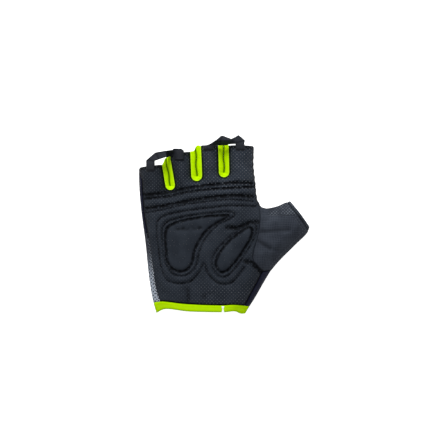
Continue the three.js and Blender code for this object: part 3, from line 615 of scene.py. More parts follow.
aside, upward, ahead = np.eye(3)
grip_shape = turned_lumps(
    np.column_stack([x, y, height]), np.tile(ahead, (len(x), 1)), radii[:, None] * aside,
    radii[:, None] * upward, DOT_LEVELS, DOT_SHARES, DOT_RING)
grip_dots = put_mesh("grip_dots", grip_shape, silicone,
                     shown=np.repeat(share * wear_and_painted_shade, DOT_RING * len(DOT_LEVELS)))

# Thumb
# The palm side of the thumb is a separate piece of charcoal cloth with a fine printed grid, set in
# with a curved seam. Its upper edge is folded over in a dotted hem and topstitched.
THUMB_WALL = 2.0
THUMB_SWELL = 2.0
THUMB_STEP = 0.55
ROOT_END = (60, -36.5)
ROOT_SLOPE = 0.145
THUMB_MOUTH = np.array([(56.3, 19.7), (72.9, -2.1)])
THUMB_BINDING = 2.6
THUMB_HEM = {"across": (35.5, 38.5), "up": (7.4, 8.6), "proud": 0.5}
THUMB_RIPPLE = 0.25
THUMB_FOLDS = [
    {"points": [(29, -6.4), (36, -6.3), (45, -5.4), (54.4, -4.9)], "depth": 0.9, "width": 2.1},
    {"points": [(28.2, -13.6), (31.8, -16.4), (38.6, -20.4)], "depth": 1.0, "width": 2.2},
    {"points": [(41, -21.6), (45.8, -22.6), (50, -22.6)], "depth": 0.5, "width": 1.6},
    {"points": [(27, 5), (31, 3.4), (36, 4.4)], "depth": 0.7, "width": 2.4},
    {"points": [(33.5, 9.6), (37, 8.2), (41, 8.6)], "depth": 0.6, "width": 1.5},
]
ROOT_FOLD = {"points": [(17.6, -30.2), (21.3, -31.2), (25, -33.2), (29.9, -38.6), (33.6, -41), (37.5, -40.6)],
             "depth": 1.3, "width": 2.1}
THUMB_COLOUR = (0.0125, 0.0158, 0.0225)
THUMB_PALE = (0.0195, 0.024, 0.0325)
THUMB_GRID = (0.044, 0.05, 0.065)
HEM_COLOUR = (0.009, 0.0115, 0.0165)
HEM_DOTS = (0.075, 0.085, 0.1)
THUMB_EDGE_SHADE = (0.7, 0.2, 1.1)
THUMB_SEAM_SHADE = (0.42, 0, 10)


def thumb_depth(x, y):
    """How far a point lies inside the line across the thumb's opening."""
    across = THUMB_MOUTH[1] - THUMB_MOUTH[0]
    across = across / np.linalg.norm(across)
    return (x - THUMB_MOUTH[0, 0]) * across[1] - (y - THUMB_MOUTH[0, 1]) * across[0]


def above_root(x, y):
    """How far a point lies above the seam between the thumb and the strip below it."""
    return y - THUMB_ROOT_Y - ROOT_SLOPE * (x - THUMB_SEAM[0][0])


def thumb_edges(x, y):
    """Distance inwards from the thumb piece's turned edges, and from its flat seam with the palm."""
    root = line_distance(x, y, smooth_line([THUMB_SEAM[0], ROOT_END]))
    below = np.where(above_root(x, y) > 0, root, -root)
    mouth = thumb_depth(x, y) - THUMB_BINDING - SEAM_GAP
    turned = np.min([side_distance(x, y), below - SEAM_GAP, mouth], axis=0)
    return turned, x - seam_x(THUMB_SEAM, y) - SEAM_GAP


def thumb_region(x, y):
    """Distance inwards from the thumb piece's cut edge."""
    return np.minimum(*thumb_edges(x, y))


def fold_bell(x, y, fold):
    """A fold pressed in as a bell curve across its line."""
    distance = line_distance(x, y, smooth_line(fold["points"]))
    return fold["depth"] * np.exp(-((distance / fold["width"]) ** 2))


def thumb_relief(x, y):
    """A raised hem between the upper edge and a level line, and the folds."""
    raised = smooth_step(y, *THUMB_HEM["up"]) * smooth_step(x, *THUMB_HEM["across"])
    folded = np.max([fold_bell(x, y, fold) for fold in THUMB_FOLDS], axis=0)
    ripple = THUMB_RIPPLE * np.sin(0.22 * x + 0.35 * y) * np.sin(0.12 * x - 0.3 * y)
    return THUMB_HEM["proud"] * raised - folded + ripple, folded, raised


def new_group(name, inputs, outputs):
    """An empty shader group with named inputs and outputs: its nodes, and the sockets at its ends."""
    group = bpy.data.node_groups.new(name, "ShaderNodeTree")
    for label, kind in inputs.items():
        group.interface.new_socket(name=label, in_out="INPUT", socket_type=kind)
    for label in outputs:
        group.interface.new_socket(name=label, in_out="OUTPUT", socket_type="NodeSocketFloat")
    nodes = Nodes(group)
    return nodes, nodes.add("NodeGroupInput").outputs, nodes.add("NodeGroupOutput").inputs


# Rows of small dots in a diamond pattern: the distance to the middle of each turned square cell
grip, given, result = new_group("grip_dots", {
    "Place": "NodeSocketVector", "Pitch": "NodeSocketFloat", "Radius": "NodeSocketFloat"}, ["Dot"])
turned = grip.add("ShaderNodeVectorRotate", {"Vector": given["Place"], "Angle": np.pi / 4},
                  rotation_type="Z_AXIS").outputs[0]
square = []
for axis in grip.add("ShaderNodeSeparateXYZ", {0: turned}).outputs[:2]:
    ratio = grip.math("DIVIDE", axis, given["Pitch"])
    square.append(grip.math("POWER", grip.math("SUBTRACT", grip.math("FRACT", ratio), 0.5), 2))
apart = grip.math("MULTIPLY", grip.math("SQRT", grip.math("ADD", *square)), given["Pitch"])
inner = grip.math("MULTIPLY", given["Radius"], 0.6)
dot = grip.add("ShaderNodeMapRange", {"Value": apart, "From Min": inner, "From Max": given["Radius"],
                                      "To Min": 1.0, "To Max": 0.0}, interpolation_type="SMOOTHSTEP")
grip.feed(result["Dot"], dot.outputs["Result"])

# A woven or knitted ground: the product of two sine waves along and across the cloth. The grid of
# raised lines is the greater of the two waves at each point.
weave, given, result = new_group("weave", {
    "Place": "NodeSocketVector", "Pitch": "NodeSocketFloat"}, ["Height", "Grid"])
waves = []
for axis in weave.add("ShaderNodeSeparateXYZ", {0: given["Place"]}).outputs[:2]:
    turns = weave.math("DIVIDE", axis, given["Pitch"])
    waves.append(weave.math("SINE", weave.math("MULTIPLY", turns, 2 * np.pi)))
weave.feed(result["Height"], weave.math("MULTIPLY", *waves))
weave.feed(result["Grid"], weave.math("MAXIMUM", *waves))

printed = Cloth("thumb_grid_cloth", roughness=0.8, gloss=0.08)
cloudy = printed.noise(120.0, 3.0)
uneven = printed.scaled(printed.noise(90.0, 1.0, output=1), 0.0025)
drawn = printed.add("ShaderNodeVectorMath", {0: printed.place, 1: uneven}, operation="ADD").outputs[0]
grid = printed.use(weave, "Grid", Place=drawn, Pitch=0.0014)
hem_dots = printed.use(grip, "Dot", Place=printed.place, Pitch=0.0019, Radius=0.00075)
gripped = printed.stored("gripped")
dotted = printed.math("MULTIPLY", hem_dots, printed.math("MULTIPLY", gripped, printed.fade(cloudy, 0.3, 0.7)))
ground = printed.patches(cloudy, 0.15, THUMB_COLOUR, THUMB_PALE)
ground = printed.mix(printed.math("MULTIPLY", printed.fade(grid, 0.5, 1.0), 0.62), ground, THUMB_GRID)
ground = printed.mix(printed.math("MULTIPLY", gripped, 0.6), ground, HEM_COLOUR)
ground = printed.mix(dotted, ground, HEM_DOTS)
# Painted shade in the folds and along the edges and the seam with the palm
printed.colour(printed.mix(printed.fade(printed.stored("pressed"), 0.1, 1.2), ground, PALM_DARK))
printed.bump(printed.math("MAXIMUM", grid, 0.0), 0.00015, 0.7)

plan, cells, rim = cut_cells(thumb_region, (22, -42), (74, 25), THUMB_STEP)
x, y = plan.T
edges = thumb_edges(x, y)
relief, folded, raised = thumb_relief(x, y)
faces = padded_faces(x, y, edges, relief, THUMB_WALL, THUMB_SWELL)
# Painted shade in the folds, in the root fold, along the turned edges and beside the seam with the palm
root_shade = fold_bell(x, y, ROOT_FOLD) / ROOT_FOLD["depth"]
shades = [0.65 * folded, 1.1 * root_shade, by_edge(edges[0], *THUMB_EDGE_SHADE),
          by_edge(edges[1], *THUMB_SEAM_SHADE)]
thumb = put_mesh("thumb", sheet_mesh(plan, cells, rim, *faces), printed,
                 pressed=np.max(shades, axis=0), gripped=raised)
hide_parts("thumb_panel")

# Back and side strips
# The back is smooth dark navy stretch knit. It is slit up between the fingers, and it wraps over
# both side edges on to the palm side, as a narrow strip along the palm's seam.
BACK_WALL = 1.3
BACK_STEP = 0.9
STRIP_STEP = 0.5
SLIT_WIDTH = 1.0
UNDER_GAP = 0.01
INNER_GAP = 0.02
THIN_EDGE = 0.05
NAVY = (0.0025, 0.0035, 0.013)
NAVY_PALE = (0.005, 0.0065, 0.021)
MESH_BACK_SEAM = [(-80, -4), (-66, -8), (-54, -22), (-47, -45), (-44, -75)]


def opening_region(x, y):
    """Distance inwards from the cut edges that all the openings share."""
    parts = [rounded_least(side_distance(x, y), finger_top(x) - y), y - seam_y(CUFF_SEAM, x) - SEAM_GAP,
             thumb_depth(x, y) - THUMB_BINDING - SEAM_GAP]
    return np.min(parts, axis=0)


def mesh_side(x, y):
    """Distance past the seam between the back and the grey mesh, over 0 on the mesh's side."""
    line = smooth_line(MESH_BACK_SEAM)
    distance = line_distance(x, y, line)
    return np.where(x < np.interp(-y, -line[:, 1], line[:, 0]), distance, -distance)


def back_region(x, y):
    """Distance inwards from the back's cut edge, with the slits between the fingers."""
    slits = [slot_distance(x, y, slot) - SLIT_WIDTH / 2 for slot in SLOTS.values()]
    return np.min([opening_region(x, y), -mesh_side(x, y) - UNDER_GAP, *slits], axis=0)


def left_strip_region(x, y):
    """Distance inwards from the strip's cut edge, beside the palm's left seam above the mesh."""
    beside = seam_x(MESH_SEAM, y) - SEAM_GAP - x
    return np.min([opening_region(x, y), beside, -mesh_side(x, y) - SEAM_GAP], axis=0)


def right_strip_region(x, y):
    """Distance inwards from the strip's cut edge, beside the palm's right seam below the thumb."""
    beside = x - seam_x(STRIP_SEAM, y) - SEAM_GAP
    below = -above_root(x, y) - SEAM_GAP
    return np.min([opening_region(x, y), beside, below], axis=0)


def join_shapes(*shapes):
    """Several lists of points and faces as one."""
    starts = np.cumsum([0] + [len(points) for points, _ in shapes[:-1]])
    faces = [np.asarray(faces) + start for (_, faces), start in zip(shapes, starts)]
    return np.vstack([points for points, _ in shapes]), np.vstack(faces)


def hand_face(x, y, side):
    """Height of the cloth over (1) or under (-1) the hand."""
    return upper_face(x, y) if side == 1 else under_face(x, y)


def one_sided(plan, cells, rim, outer, inner, side):
    """A sheet on one side of the hand: its outer face is up over the hand (side 1) and down under it
    (side -1). Its inner face keeps just clear of the side seam's height and of the outer face."""
    inner = side * np.maximum(side * inner, side * SEAM_HEIGHT + INNER_GAP)
    inner = side * np.minimum(side * inner, side * outer - THIN_EDGE)
    return sheet_mesh(plan, cells, rim, *((outer, inner) if side == 1 else (inner, outer)))


def laid_sheet(region, low, high, step, side):
    """A sheet as thick as its wall, rounded at its cut edge, over (1) or under (-1) the hand."""
    plan, cells, rim = cut_cells(region, low, high, step)
    x, y = plan.T
    turned_in = hem(region(x, y), BACK_WALL)
    face = hand_face(x, y, side)
    inner = face - side * (BACK_WALL - INNER_TURN * turned_in)
    return one_sided(plan, cells, rim, face - side * turned_in, inner, side)


navy = Cloth("navy_knit", roughness=0.62, gloss=0.1)
navy.colour(navy.patches(navy.noise(70.0, 2.0), 0.15, NAVY, NAVY_PALE))
navy.bump(navy.use(weave, "Height", Place=navy.place, Pitch=0.0011), 0.00008, 0.7)

back_shape = join_shapes(
    laid_sheet(back_region, (-74, -72), (74, 69), BACK_STEP, -1),
    laid_sheet(left_strip_region, (-74, -20), (-60, 50), STRIP_STEP, 1),
    laid_sheet(right_strip_region, (15, -71), (42, -35), STRIP_STEP, 1))
back = put_mesh("back", back_shape, navy)
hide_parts("back_panel")

# Side mesh
# Along the little finger's side, from the middle of the hand to the cuff, the glove has a pale grey
# open mesh that lets air in. It wraps from the palm's seam round the side on to the back.
MESH_STEP = 0.36
HOLE_PITCH = 3.2
HOLE_DEPTH = 0.45
MESH_COLOUR = (0.27, 0.305, 0.36)
MESH_SHADED = (0.016, 0.019, 0.028)
MESH_SHADE_UP = (-56, -20)
# The holes are painted dark, as painted shade inside the glove that shows through them
HOLE_COLOUR = (0.012, 0.014, 0.022)


def mesh_over_region(x, y):
    """Distance inwards from the mesh's cut edge where it lies over the side."""
    beside = seam_x(MESH_SEAM, y) - SEAM_GAP - x
    return np.min([opening_region(x, y), beside, mesh_side(x, y) - SEAM_GAP], axis=0)


def mesh_under_region(x, y):
    """Distance inwards from the mesh's cut edge where it lies under the hand."""
    return np.min([opening_region(x, y), mesh_side(x, y) - UNDER_GAP], axis=0)


def mesh_holes(x, y):
    """How deep the mesh dips at each point: a lattice of round holes, from two slanted cosines."""
    turns = 2 * np.pi / HOLE_PITCH
    return np.clip(np.cos(turns * (x + y)) * 0.5 + np.cos(turns * (x - y)) * 0.5, 0, 1)


grey = Cloth("grey_mesh", roughness=0.7, gloss=0.15)
ground = grey.mix(grey.stored("shaded"), MESH_COLOUR, MESH_SHADED)
# Painted shade in the holes, for the inside of the glove that shows through them
grey.colour(grey.mix(grey.fade(grey.stored("holed"), 0.1, 0.55), ground, HOLE_COLOUR))

mesh_over = laid_sheet(mesh_over_region, (-72, -70), (-52, -2), MESH_STEP, 1)
mesh_under = laid_sheet(mesh_under_region, (-72, -70), (-40, -2), MESH_STEP, -1)
mesh_shape = join_shapes(mesh_over, mesh_under)
x, y = mesh_shape[0][:, :2].T
holes = mesh_holes(x, y)
outer_side = np.concatenate([np.repeat(sides, len(half[0]) // 2)
                             for sides, half in (([1, 0], mesh_over), ([0, -1], mesh_under))])
mesh_shape[0][:, 2] -= HOLE_DEPTH * holes * outer_side
side_mesh = put_mesh("mesh_side_panel", mesh_shape, grey, holed=holes, shaded=smooth_step(y, *MESH_SHADE_UP))
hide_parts("side_mesh")

# Gussets
# Between the fingers the glove has strips of soft lime stretch cloth. Each is sewn round the slot in
# the palm, and dips into a crease where its two walls go down to the back between the fingers.
GUSSET_WALL = 1.0
GUSSET_EDGE = 7.9
GUSSET_FOOT = 1.6
GUSSET_GAP = 0.002
GUSSET_RISE = 0.2
GUSSET_RINGS = np.array([1, 0.97, 0.9, 0.8, 0.68, 0.55, 0.42, 0.3, 0.2, 0.12, 0.06, 0.02, 0])
GUSSET_STEP = 0.8
GUSSET_TURN = 24
GUSSET_WANDER = 0.4
GUSSET_PUCKER = 0.12
GUSSET_LIP = 0.3
GUSSET_TOPS = {
    "little_ring": [(-56, 50.2), (-54.2, 51.3), (-52.6, 53.2), (-51.2, 56.2), (-49, 57.6), (-45, 58.6)],
    "ring_middle": [(-30, 62.4), (-26.4, 62.6), (-25.3, 63.6), (-24.5, 66), (-22.8, 67.5), (-21, 67),
                    (-18, 64.8)],
    "middle_index": [(-7, 67.6), (-3, 68.1), (1, 68), (5, 67.8)],
}
# The lime and its duller patches, a paler lime for a painted highlight on raised edges, and a dark lime for
# painted shade in creases and along edges, which also makes the cuff a little darker all over
LIME = (0.37, 0.62, 0.0)
LIME_DULL = (0.34, 0.58, 0.0)
LIME_HIGHLIGHT = (0.42, 0.69, 0.012)
LIME_DARK = (0.14, 0.27, 0.0)

lime = Cloth("lime_stretch_cloth", roughness=0.8, gloss=0.0)
ground = lime.patches(lime.noise(260.0, 3.0), 0.2, LIME, LIME_DULL)
# Painted highlight along raised edges, and painted shade in creases and along edges
ground = lime.mix(lime.stored("pale"), ground, LIME_HIGHLIGHT)
lime.colour(lime.mix(lime.stored("dark"), ground, LIME_DARK))
lime.bump(lime.use(weave, "Height", Place=lime.place, Pitch=0.0009), 0.00008, 0.6)

for name, slot in SLOTS.items():
    end = np.array(slot["end"], float)
    lean = np.array(slot["top"], float) - end
    lean = lean / np.linalg.norm(lean)
    right = np.array([lean[1], -lean[0]])
    half = slot["width"] / 2 - SEAM_GAP
    tops = np.array(GUSSET_TOPS[name], float)
    rows = int(round((tops[:, 1].mean() - end[1]) / GUSSET_STEP))

    # The strip runs down the left wall, round the slot's lower end and up the right wall
    wall = np.linspace(0, 1, rows + 1)
    rise = np.concatenate([wall[::-1], np.zeros(GUSSET_TURN - 1), wall])
    round_end = np.arange(1, GUSSET_TURN) / GUSSET_TURN
    swing = np.pi * np.concatenate([np.ones(rows + 1), 1 + round_end, np.full(rows + 1, 2)])
    share = GUSSET_RINGS[None, :]
    reach = GUSSET_GAP + (half - GUSSET_GAP) * share
    wander = GUSSET_WANDER * (1 - share) ** 2

    def gusset_face(inset, drop):
        """One face of the strip: how far each point is from the slot's middle line, plus an inset,
        and its height, which falls steeply towards that line, less a drop."""
        out = reach + inset
        across = out * np.cos(swing)[:, None]
        top_y = np.interp(slot["top"][0] + across, tops[:, 0], tops[:, 1])
        along = out * np.sin(swing)[:, None] + rise[:, None] * (top_y - end[1]) / lean[1]
        bend = wander * np.sin(0.4 * along + end[0])
        plan_points = end + (across + bend)[..., None] * right + along[..., None] * lean
        pucker = GUSSET_PUCKER * np.sin(2.4 * along + 0.6 * across) * share
        level = GUSSET_FOOT + (GUSSET_EDGE - GUSSET_FOOT) * share**GUSSET_RISE + pucker - drop
        return np.dstack([plan_points, level])

    outer = gusset_face(0.0, GUSSET_LIP * (share > 0.99))
    inner = gusset_face(GUSSET_WALL * (1 - share) ** 0.5, GUSSET_WALL * share**0.5)
    inner[..., 2] = np.maximum(inner[..., 2], GUSSET_FOOT)
    loop_points = np.concatenate([outer, inner[:, ::-1]], axis=1)
    length, around = loop_points.shape[:2]
    corner = np.arange(length * around).reshape(length, around)
    after = np.roll(corner, -1, axis=1)
    skin = np.stack([corner[:-1], corner[1:], after[1:], after[:-1]], axis=-1).reshape(-1, 4)
    pairs = np.arange(len(GUSSET_RINGS) - 1)
    end_cap = np.stack([pairs, pairs + 1, around - 2 - pairs, around - 1 - pairs], axis=-1)
    faces = np.vstack([skin, corner[0][end_cap], corner[-1][end_cap[:, ::-1]]])
    depth = np.concatenate([GUSSET_RINGS, GUSSET_RINGS[::-1]])
    # Painted highlight along the strip's raised edges, and painted shade down its crease
    gusset = put_mesh("gusset_strip_" + name, (loop_points.reshape(-1, 3), faces), lime,
                      pale=smooth_step(depth, 0.75, 0.95), dark=by_edge(depth, 1, 0.02, 0.3))
    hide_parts("gusset_" + name)

# Pull loops
# Two black woven ribbons are sewn on to pairs of fingertips, and are pulled to take the glove off.
# Each lies folded across the gap between its two fingers, standing a little above them.
RIBBON_WALL = 1.2
RIBBON_STEP = 0.45
RIBBON_HEIGHT = 15.4
RIBBON_ARCH = 2.0
RIBBON_CLEAR = 0.75
RIBBON_TUCK = 4.0
SELVEDGE = (0.15, 0.8, 1.4)
RIBBON_EDGE_SHADE = (0.55, 0.2, 0.9)
RIBBON_CREASE = {"depth": 0.35, "width": 0.9}
RIBBON_COLOUR = (0.0115, 0.0135, 0.0185)
RIBBON_PALE = (0.019, 0.0215, 0.0285)
RIBBONS = {
    "left": {
        "span": (-63.5, -39),
        "outline": [(-66.4, 43), (-66.4, 54.1), (-62.5, 57.6), (-58.5, 60.7), (-51, 62), (-44.2, 63),
                    (-42.8, 64.1), (-36.6, 64.1), (-34.4, 62.4), (-34.4, 54.5), (-42.4, 54.5),
                    (-43.6, 58), (-45.7, 57.9), (-49.9, 56.6), (-59, 53.6), (-59.2, 43)],
        "folds": [[(-68, 54.4), (-58, 53)], [(-58.5, 61), (-55, 54)], [(-45.4, 63.4), (-41.6, 54)]],
    },
    "right": {
        "span": (-12, 14),
        "outline": [(-17.5, 60.5), (-18.6, 66), (-12.6, 67.9), (-6.9, 71.5), (-2.9, 74.8), (-1.2, 74.9),
                    (2, 73.6), (5.8, 72.3), (9, 73.8), (11.8, 75.6), (14.8, 73.4), (17.4, 70.8), (16.8, 68.4),
                    (17.4, 66), (17.4, 60.5), (9.6, 60.5), (9.3, 68), (3.2, 67.9), (2.6, 67.2), (-9, 67),
                    (-9.4, 60.5)],
        "folds": [[(-18.4, 66.2), (-8.4, 67.4)], [(-1.6, 76), (-4.4, 67)], [(5.8, 73), (8.6, 67.4)],
                  [(18.2, 70.8), (9.6, 68.4)]],
    },
}

woven = Cloth("woven_ribbon", roughness=0.6, gloss=0.12)
rib = woven.use(weave, "Height", Place=woven.place, Pitch=0.0008)
ground = woven.mix(woven.fade(rib, -0.8, 0.8), RIBBON_COLOUR, RIBBON_PALE)
# Painted shade in the creases and along the edges, and the legs darker where they lie on the fingers
woven.colour(woven.mix(woven.stored("pressed"), ground, PALM_DARK))
woven.bump(rib, 0.0001, 0.8)

for name, ribbon in RIBBONS.items():
    outline = np.array(ribbon["outline"], float)

    def ribbon_region(x, y):
        """Distance inwards from the ribbon's outline."""
        return polygon_distance(x, y, outline)

    plan, cells, rim = cut_cells(ribbon_region, outline.min(axis=0) - 1, outline.max(axis=0) + 1, RIBBON_STEP)
    x, y = plan.T
    inwards = ribbon_region(x, y)
    left, right = ribbon["span"]
    arch = RIBBON_HEIGHT + RIBBON_ARCH * np.sin(np.pi * np.clip((x - left) / (right - left), 0, 1))
    free = smooth_step(y - finger_top(x), -1, 4)
    tuck = by_edge(y - outline[:, 1].min(), RIBBON_WALL + RIBBON_CLEAR, 0, RIBBON_TUCK)
    lower = (1 - free) * (upper_face(x, y) + RIBBON_CLEAR - tuck) + free * arch
    creases = [line_distance(x, y, np.array(line, float)) for line in ribbon["folds"]]
    folded = np.exp(-((np.min(creases, axis=0) / RIBBON_CREASE["width"]) ** 2))
    turned_in = hem(inwards, RIBBON_WALL)
    upper = lower + RIBBON_WALL - RIBBON_CREASE["depth"] * folded - turned_in + by_edge(inwards, *SELVEDGE)
    # Painted shade in the creases and along the edges, and the legs darker where they lie on the fingers
    shades = [0.6 * folded, by_edge(inwards, *RIBBON_EDGE_SHADE), 0.45 * (1 - free)]
    loop = put_mesh("ribbon_loop_" + name,
                    sheet_mesh(plan, cells, rim, upper, lower + INNER_TURN * turned_in), woven,
                    pressed=np.max(shades, axis=0))
    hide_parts("pull_loop_" + name)

# Bindings
# The wrist is bound with a folded band of lime cloth, and the thumb's opening with a narrow dark one.
# Each is folded over the cut edge and stitched through.
BINDING_WALL = 2.2
BINDING_PROUD = 0.5
BINDING_STEP = 0.5
BINDING_SWELL = 1.2
CUFF_EDGE_SHADE = (0.3, 0.1, 0.9)
BAND_EDGE_SHADE = (0.4, 0.1, 0.7)
CUFF_LOWER = [(-58.6, -76.2), (-51, -72.3), (-30, -74.1), (0, -74.7), (9, -74.2), (14, -76.4), (19.8, -76.2)]


def cuff_region(x, y):
    """Distance inwards from the cuff binding's edges."""
    return np.min([side_distance(x, y), seam_y(CUFF_SEAM, x) - y, y - seam_y(CUFF_LOWER, x)], axis=0)


def thumb_binding_region(x, y):
    """Distance inwards from the thumb binding's edges."""
    depth = thumb_depth(x, y)
    return np.min([side_distance(x, y), THUMB_BINDING - depth, depth], axis=0)


def bound_shape(region, low, high, from_opening):
    """The upper and lower halves of a binding. Each swells across its width and rolls over at the
    opening, where its two halves nearly meet."""
    halves = []
    for side in (1, -1):
        plan, cells, rim = cut_cells(region, low, high, BINDING_STEP)
        x, y = plan.T
        inwards = region(x, y)
        roll = hem(from_opening(x, y), BINDING_WALL)
        face = hand_face(x, y, side)
        swell = BINDING_PROUD * quarter(inwards / BINDING_SWELL) if side == 1 else 0
        outer = face + swell - side * (roll + hem(inwards, BINDING_SWELL))
        inner = face - side * (BINDING_WALL - BINDING_PROUD - 0.5 * roll)
        halves.append(one_sided(plan, cells, rim, outer, inner, side))
    return join_shapes(*halves)


cuff_shape = bound_shape(cuff_region, (-62, -79), (23, -64), lambda x, y: y - seam_y(CUFF_LOWER, x))
cuff_edge = cuff_region(*cuff_shape[0][:, :2].T)
# The cuff's lime is a little darker all over, with painted shade along its edges and a painted highlight
# along the middle of its swell
cuff = put_mesh("cuff_band", cuff_shape, lime, dark=0.15 + by_edge(cuff_edge, *CUFF_EDGE_SHADE),
                pale=0.3 * smooth_step(cuff_edge, 1.5, 3.0))
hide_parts("cuff_binding")

thumb_band_shape = bound_shape(thumb_binding_region, (52, -8), (75, 22), thumb_depth)
thumb_band_edge = thumb_binding_region(*thumb_band_shape[0][:, :2].T)
# Painted shade along the thumb binding's edges
thumb_band = put_mesh("thumb_band", thumb_band_shape, printed,
                      pressed=by_edge(thumb_band_edge, *BAND_EDGE_SHADE), gripped=0.6)
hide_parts("thumb_binding")

# Stitches
# White zigzag thread joins the mesh to the palm, dark thread topstitches the thumb and its hem, black
# whip stitches pull in the index finger's edge, and a white bar tack holds the ends of the cuff's
# binding. Every stitch is a short bead of thread.
BEAD_RING = 6
BEAD_LENGTHS = np.array([-1, -0.8, -0.35, 0.35, 0.8, 1])
BEAD_RADII = np.array([0.05, 0.65, 1, 1, 0.65, 0.05])


def thread_beads(starts, ends, radius):
    """A closed bead of thread from each start to each end, whose radius swells from the two ends to
    the middle."""
    starts, ends = np.asarray(starts, float), np.asarray(ends, float)
    along = (ends - starts) / 2
    forward = along / np.linalg.norm(along, axis=1)[:, None]
    aside = np.cross(forward, (0, 0, 1))
    aside = aside / np.linalg.norm(aside, axis=1)[:, None]
    reach = radius * aside, radius * np.cross(forward, aside)
    return turned_lumps((starts + ends) / 2, along, *reach, BEAD_LENGTHS, BEAD_RADII, BEAD_RING)


def on_cloth(plan, lift):
    """Plan points laid on the cloth's upper face, lifted by a little."""
    return np.column_stack([plan, upper_face(plan[:, 0], plan[:, 1]) + lift])


def along_line(points, spacing):
    """Points spaced evenly along a smooth line, and the unit step forward along it at each."""
    line = smooth_line(points, spacing=spacing)
    forward = np.gradient(line, axis=0)
    return line, forward / np.linalg.norm(forward, axis=1)[:, None]


PALE_COLOUR = (0.46, 0.5, 0.57)
PALE_SHADED = (0.07, 0.08, 0.1)

white_thread = Cloth("white_thread", roughness=0.6, gloss=0.2)
white_thread.colour((0.85, 0.88, 0.92))
pale_thread = Cloth("pale_thread", roughness=0.6, gloss=0.2)
upwards = pale_thread.add("ShaderNodeSeparateXYZ", {0: pale_thread.place}).outputs[1]
pale_thread.colour(pale_thread.mix(pale_thread.fade(upwards, -0.05, -0.02), PALE_COLOUR, PALE_SHADED))
dark_thread = Cloth("dark_thread", roughness=0.6, gloss=0.15)
dark_thread.colour((0.05, 0.056, 0.068))
black_thread = Cloth("black_thread", roughness=0.6, gloss=0.15)
black_thread.colour((0.008, 0.01, 0.014))

ZIGZAG = {"spacing": 1.5, "swing": 1.2, "radius": 0.26, "lift": 0.12}
ZIGZAG_LINE = [(-55.2, -66), (-57.6, -60), (-59.4, -51.4), (-61.4, -37), (-63.6, -21), (-65, -12)]
line, forward = along_line(ZIGZAG_LINE, ZIGZAG["spacing"])
swing = np.where(np.arange(len(line)) % 2 == 0, 1, -1)[:, None] * ZIGZAG["swing"]
zig = on_cloth(line + swing * np.column_stack([-forward[:, 1], forward[:, 0]]), ZIGZAG["lift"])
zigzag = put_mesh("mesh_zigzag", thread_beads(zig[:-1], zig[1:], ZIGZAG["radius"]), pale_thread)

TOPSTITCH = {"spacing": 2.6, "share": 0.33, "radius": 0.2, "lift": 0.3}
TOPSTITCH_LINES = [
    [(38, 7.2), (46, 7.4), (53.6, 7.8)],
    [(54.2, 15.4), (60.2, 7.4), (67.8, -3.2)],
    [(52.6, 14.2), (58.8, 6.2), (66.4, -4.4)],
    [(68.4, -5.2), (59.2, -14.6), (45.6, -28.2), (39.4, -35.4)],
]
stitch_parts = []
for points in TOPSTITCH_LINES:
    line, forward = along_line(points, TOPSTITCH["spacing"])
    reach = forward * TOPSTITCH["spacing"] * TOPSTITCH["share"]
    ends = (on_cloth(line + way * reach, TOPSTITCH["lift"]) for way in (-1, 1))
    stitch_parts.append(thread_beads(*ends, TOPSTITCH["radius"]))
topstitch = put_mesh("thumb_topstitch", join_shapes(*stitch_parts), dark_thread)

# Each stitch over the index finger's edge runs from the palm across the edge to its outer side
WHIPSTITCH = {"count": 7, "inside": 2.0, "turn": 0.6, "slant": (-0.5, 0.2), "radius": 0.42, "lift": 0.15}
edge_y = EDGE_FIRST + EDGE_STITCH * (np.arange(1 - WHIPSTITCH["count"], 1) + 0.5)
edge_line = EDGE_LINES["index"][::-1]
edge_x = np.interp(edge_y, edge_line[:, 1], edge_line[:, 0])
slant_in, slant_out = WHIPSTITCH["slant"]
whip_in = on_cloth(np.column_stack([edge_x - WHIPSTITCH["inside"], edge_y + slant_in]), WHIPSTITCH["lift"])
whip_turn = on_cloth(np.column_stack([edge_x - WHIPSTITCH["turn"], edge_y]), WHIPSTITCH["lift"])
whip_out = np.column_stack([edge_x, edge_y + slant_out, np.full(len(edge_y), SEAM_HEIGHT)])
over = thread_beads(whip_in, whip_turn, WHIPSTITCH["radius"])
down = thread_beads(whip_turn, whip_out, WHIPSTITCH["radius"])
whipstitch = put_mesh("index_whipstitch", join_shapes(over, down), black_thread)

TACK = {"x": -1.3, "low": -74.2, "high": -69.9, "bars": 9, "half": (0.4, 1.3), "radius": 0.34, "lift": 0.62}
tack_y = np.linspace(TACK["low"], TACK["high"], TACK["bars"])
waist = np.abs(np.linspace(-1, 1, TACK["bars"]))
tack_half = TACK["half"][0] + (TACK["half"][1] - TACK["half"][0]) * waist
tack_ends = (on_cloth(np.column_stack([TACK["x"] + way * tack_half, tack_y]), TACK["lift"])
             for way in (-1, 1))
tack = put_mesh("cuff_tack", thread_beads(*tack_ends, TACK["radius"]), white_thread)

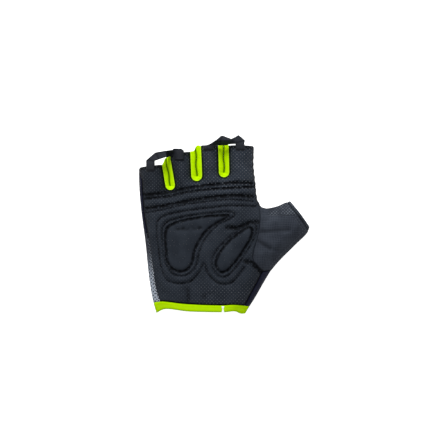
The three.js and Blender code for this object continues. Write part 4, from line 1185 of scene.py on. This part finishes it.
# Setting
# The glove lies on a plain white table with a painted glow, which keeps the glove's cast shadow
# off it and lights the glove a little from below. Soft light comes from the fingers' side, and the
# glove is seen from straight above.
TABLE_GLOW = 0.85
TABLE_GREY = 0.6
TABLE_HALF = 3.0
TABLE_DROP = 0.0002
WORLD_LIGHT = 0.42
CAMERA_HEIGHT = 1.07
CAMERA_LENS = 100.0
FRAME_MIDDLE = (-0.0004, 0.0002)
LIGHTS = [
    {"name": "overhead", "place": (-0.2, 0.85, 0.75), "size": 0.5, "watts": 19.0},
    {"name": "fill", "place": (0.6, -0.4, 0.8), "size": 0.9, "watts": 2.0},
]

table_cloth = bpy.data.materials.new("white_table")
table_cloth.use_nodes = True
table_shader = table_cloth.node_tree.nodes["Principled BSDF"]
table_shader.inputs["Base Color"].default_value = (TABLE_GREY, TABLE_GREY, TABLE_GREY, 1)
table_shader.inputs["Roughness"].default_value = 0.9
# Painted glow: the table gives off light, though it is no lamp
table_shader.inputs["Emission Color"].default_value = (1, 1, 1, 1)
table_shader.inputs["Emission Strength"].default_value = TABLE_GLOW
table_mesh = bpy.data.meshes.new("table")
table_corners = [(TABLE_HALF * across, TABLE_HALF * along, -TABLE_DROP)
                 for across, along in ((-1, -1), (1, -1), (1, 1), (-1, 1))]
table_mesh.from_pydata(table_corners, [], [(0, 1, 2, 3)])
table_mesh.materials.append(table_cloth)
table = bpy.data.objects.new("table", table_mesh)
bpy.context.scene.collection.objects.link(table)

world = bpy.data.worlds.new("studio")
world.use_nodes = True
world.node_tree.nodes["Background"].inputs["Color"].default_value = (1, 1, 1, 1)
world.node_tree.nodes["Background"].inputs["Strength"].default_value = WORLD_LIGHT
bpy.context.scene.world = world
bpy.context.scene.view_settings.view_transform = "Standard"

for light in LIGHTS:
    lamp = bpy.data.lights.new(light["name"], "AREA")
    lamp.size = light["size"]
    lamp.energy = light["watts"]
    holder = bpy.data.objects.new(light["name"], lamp)
    holder.location = light["place"]
    direction = -holder.location
    holder.rotation_euler = direction.to_track_quat("-Z", "Y").to_euler()
    bpy.context.scene.collection.objects.link(holder)

camera_data = bpy.data.cameras.new("camera")
camera_data.lens = CAMERA_LENS
camera = bpy.data.objects.new("camera", camera_data)
camera.location = (*FRAME_MIDDLE, CAMERA_HEIGHT)
bpy.context.scene.collection.objects.link(camera)
bpy.context.scene.camera = camera
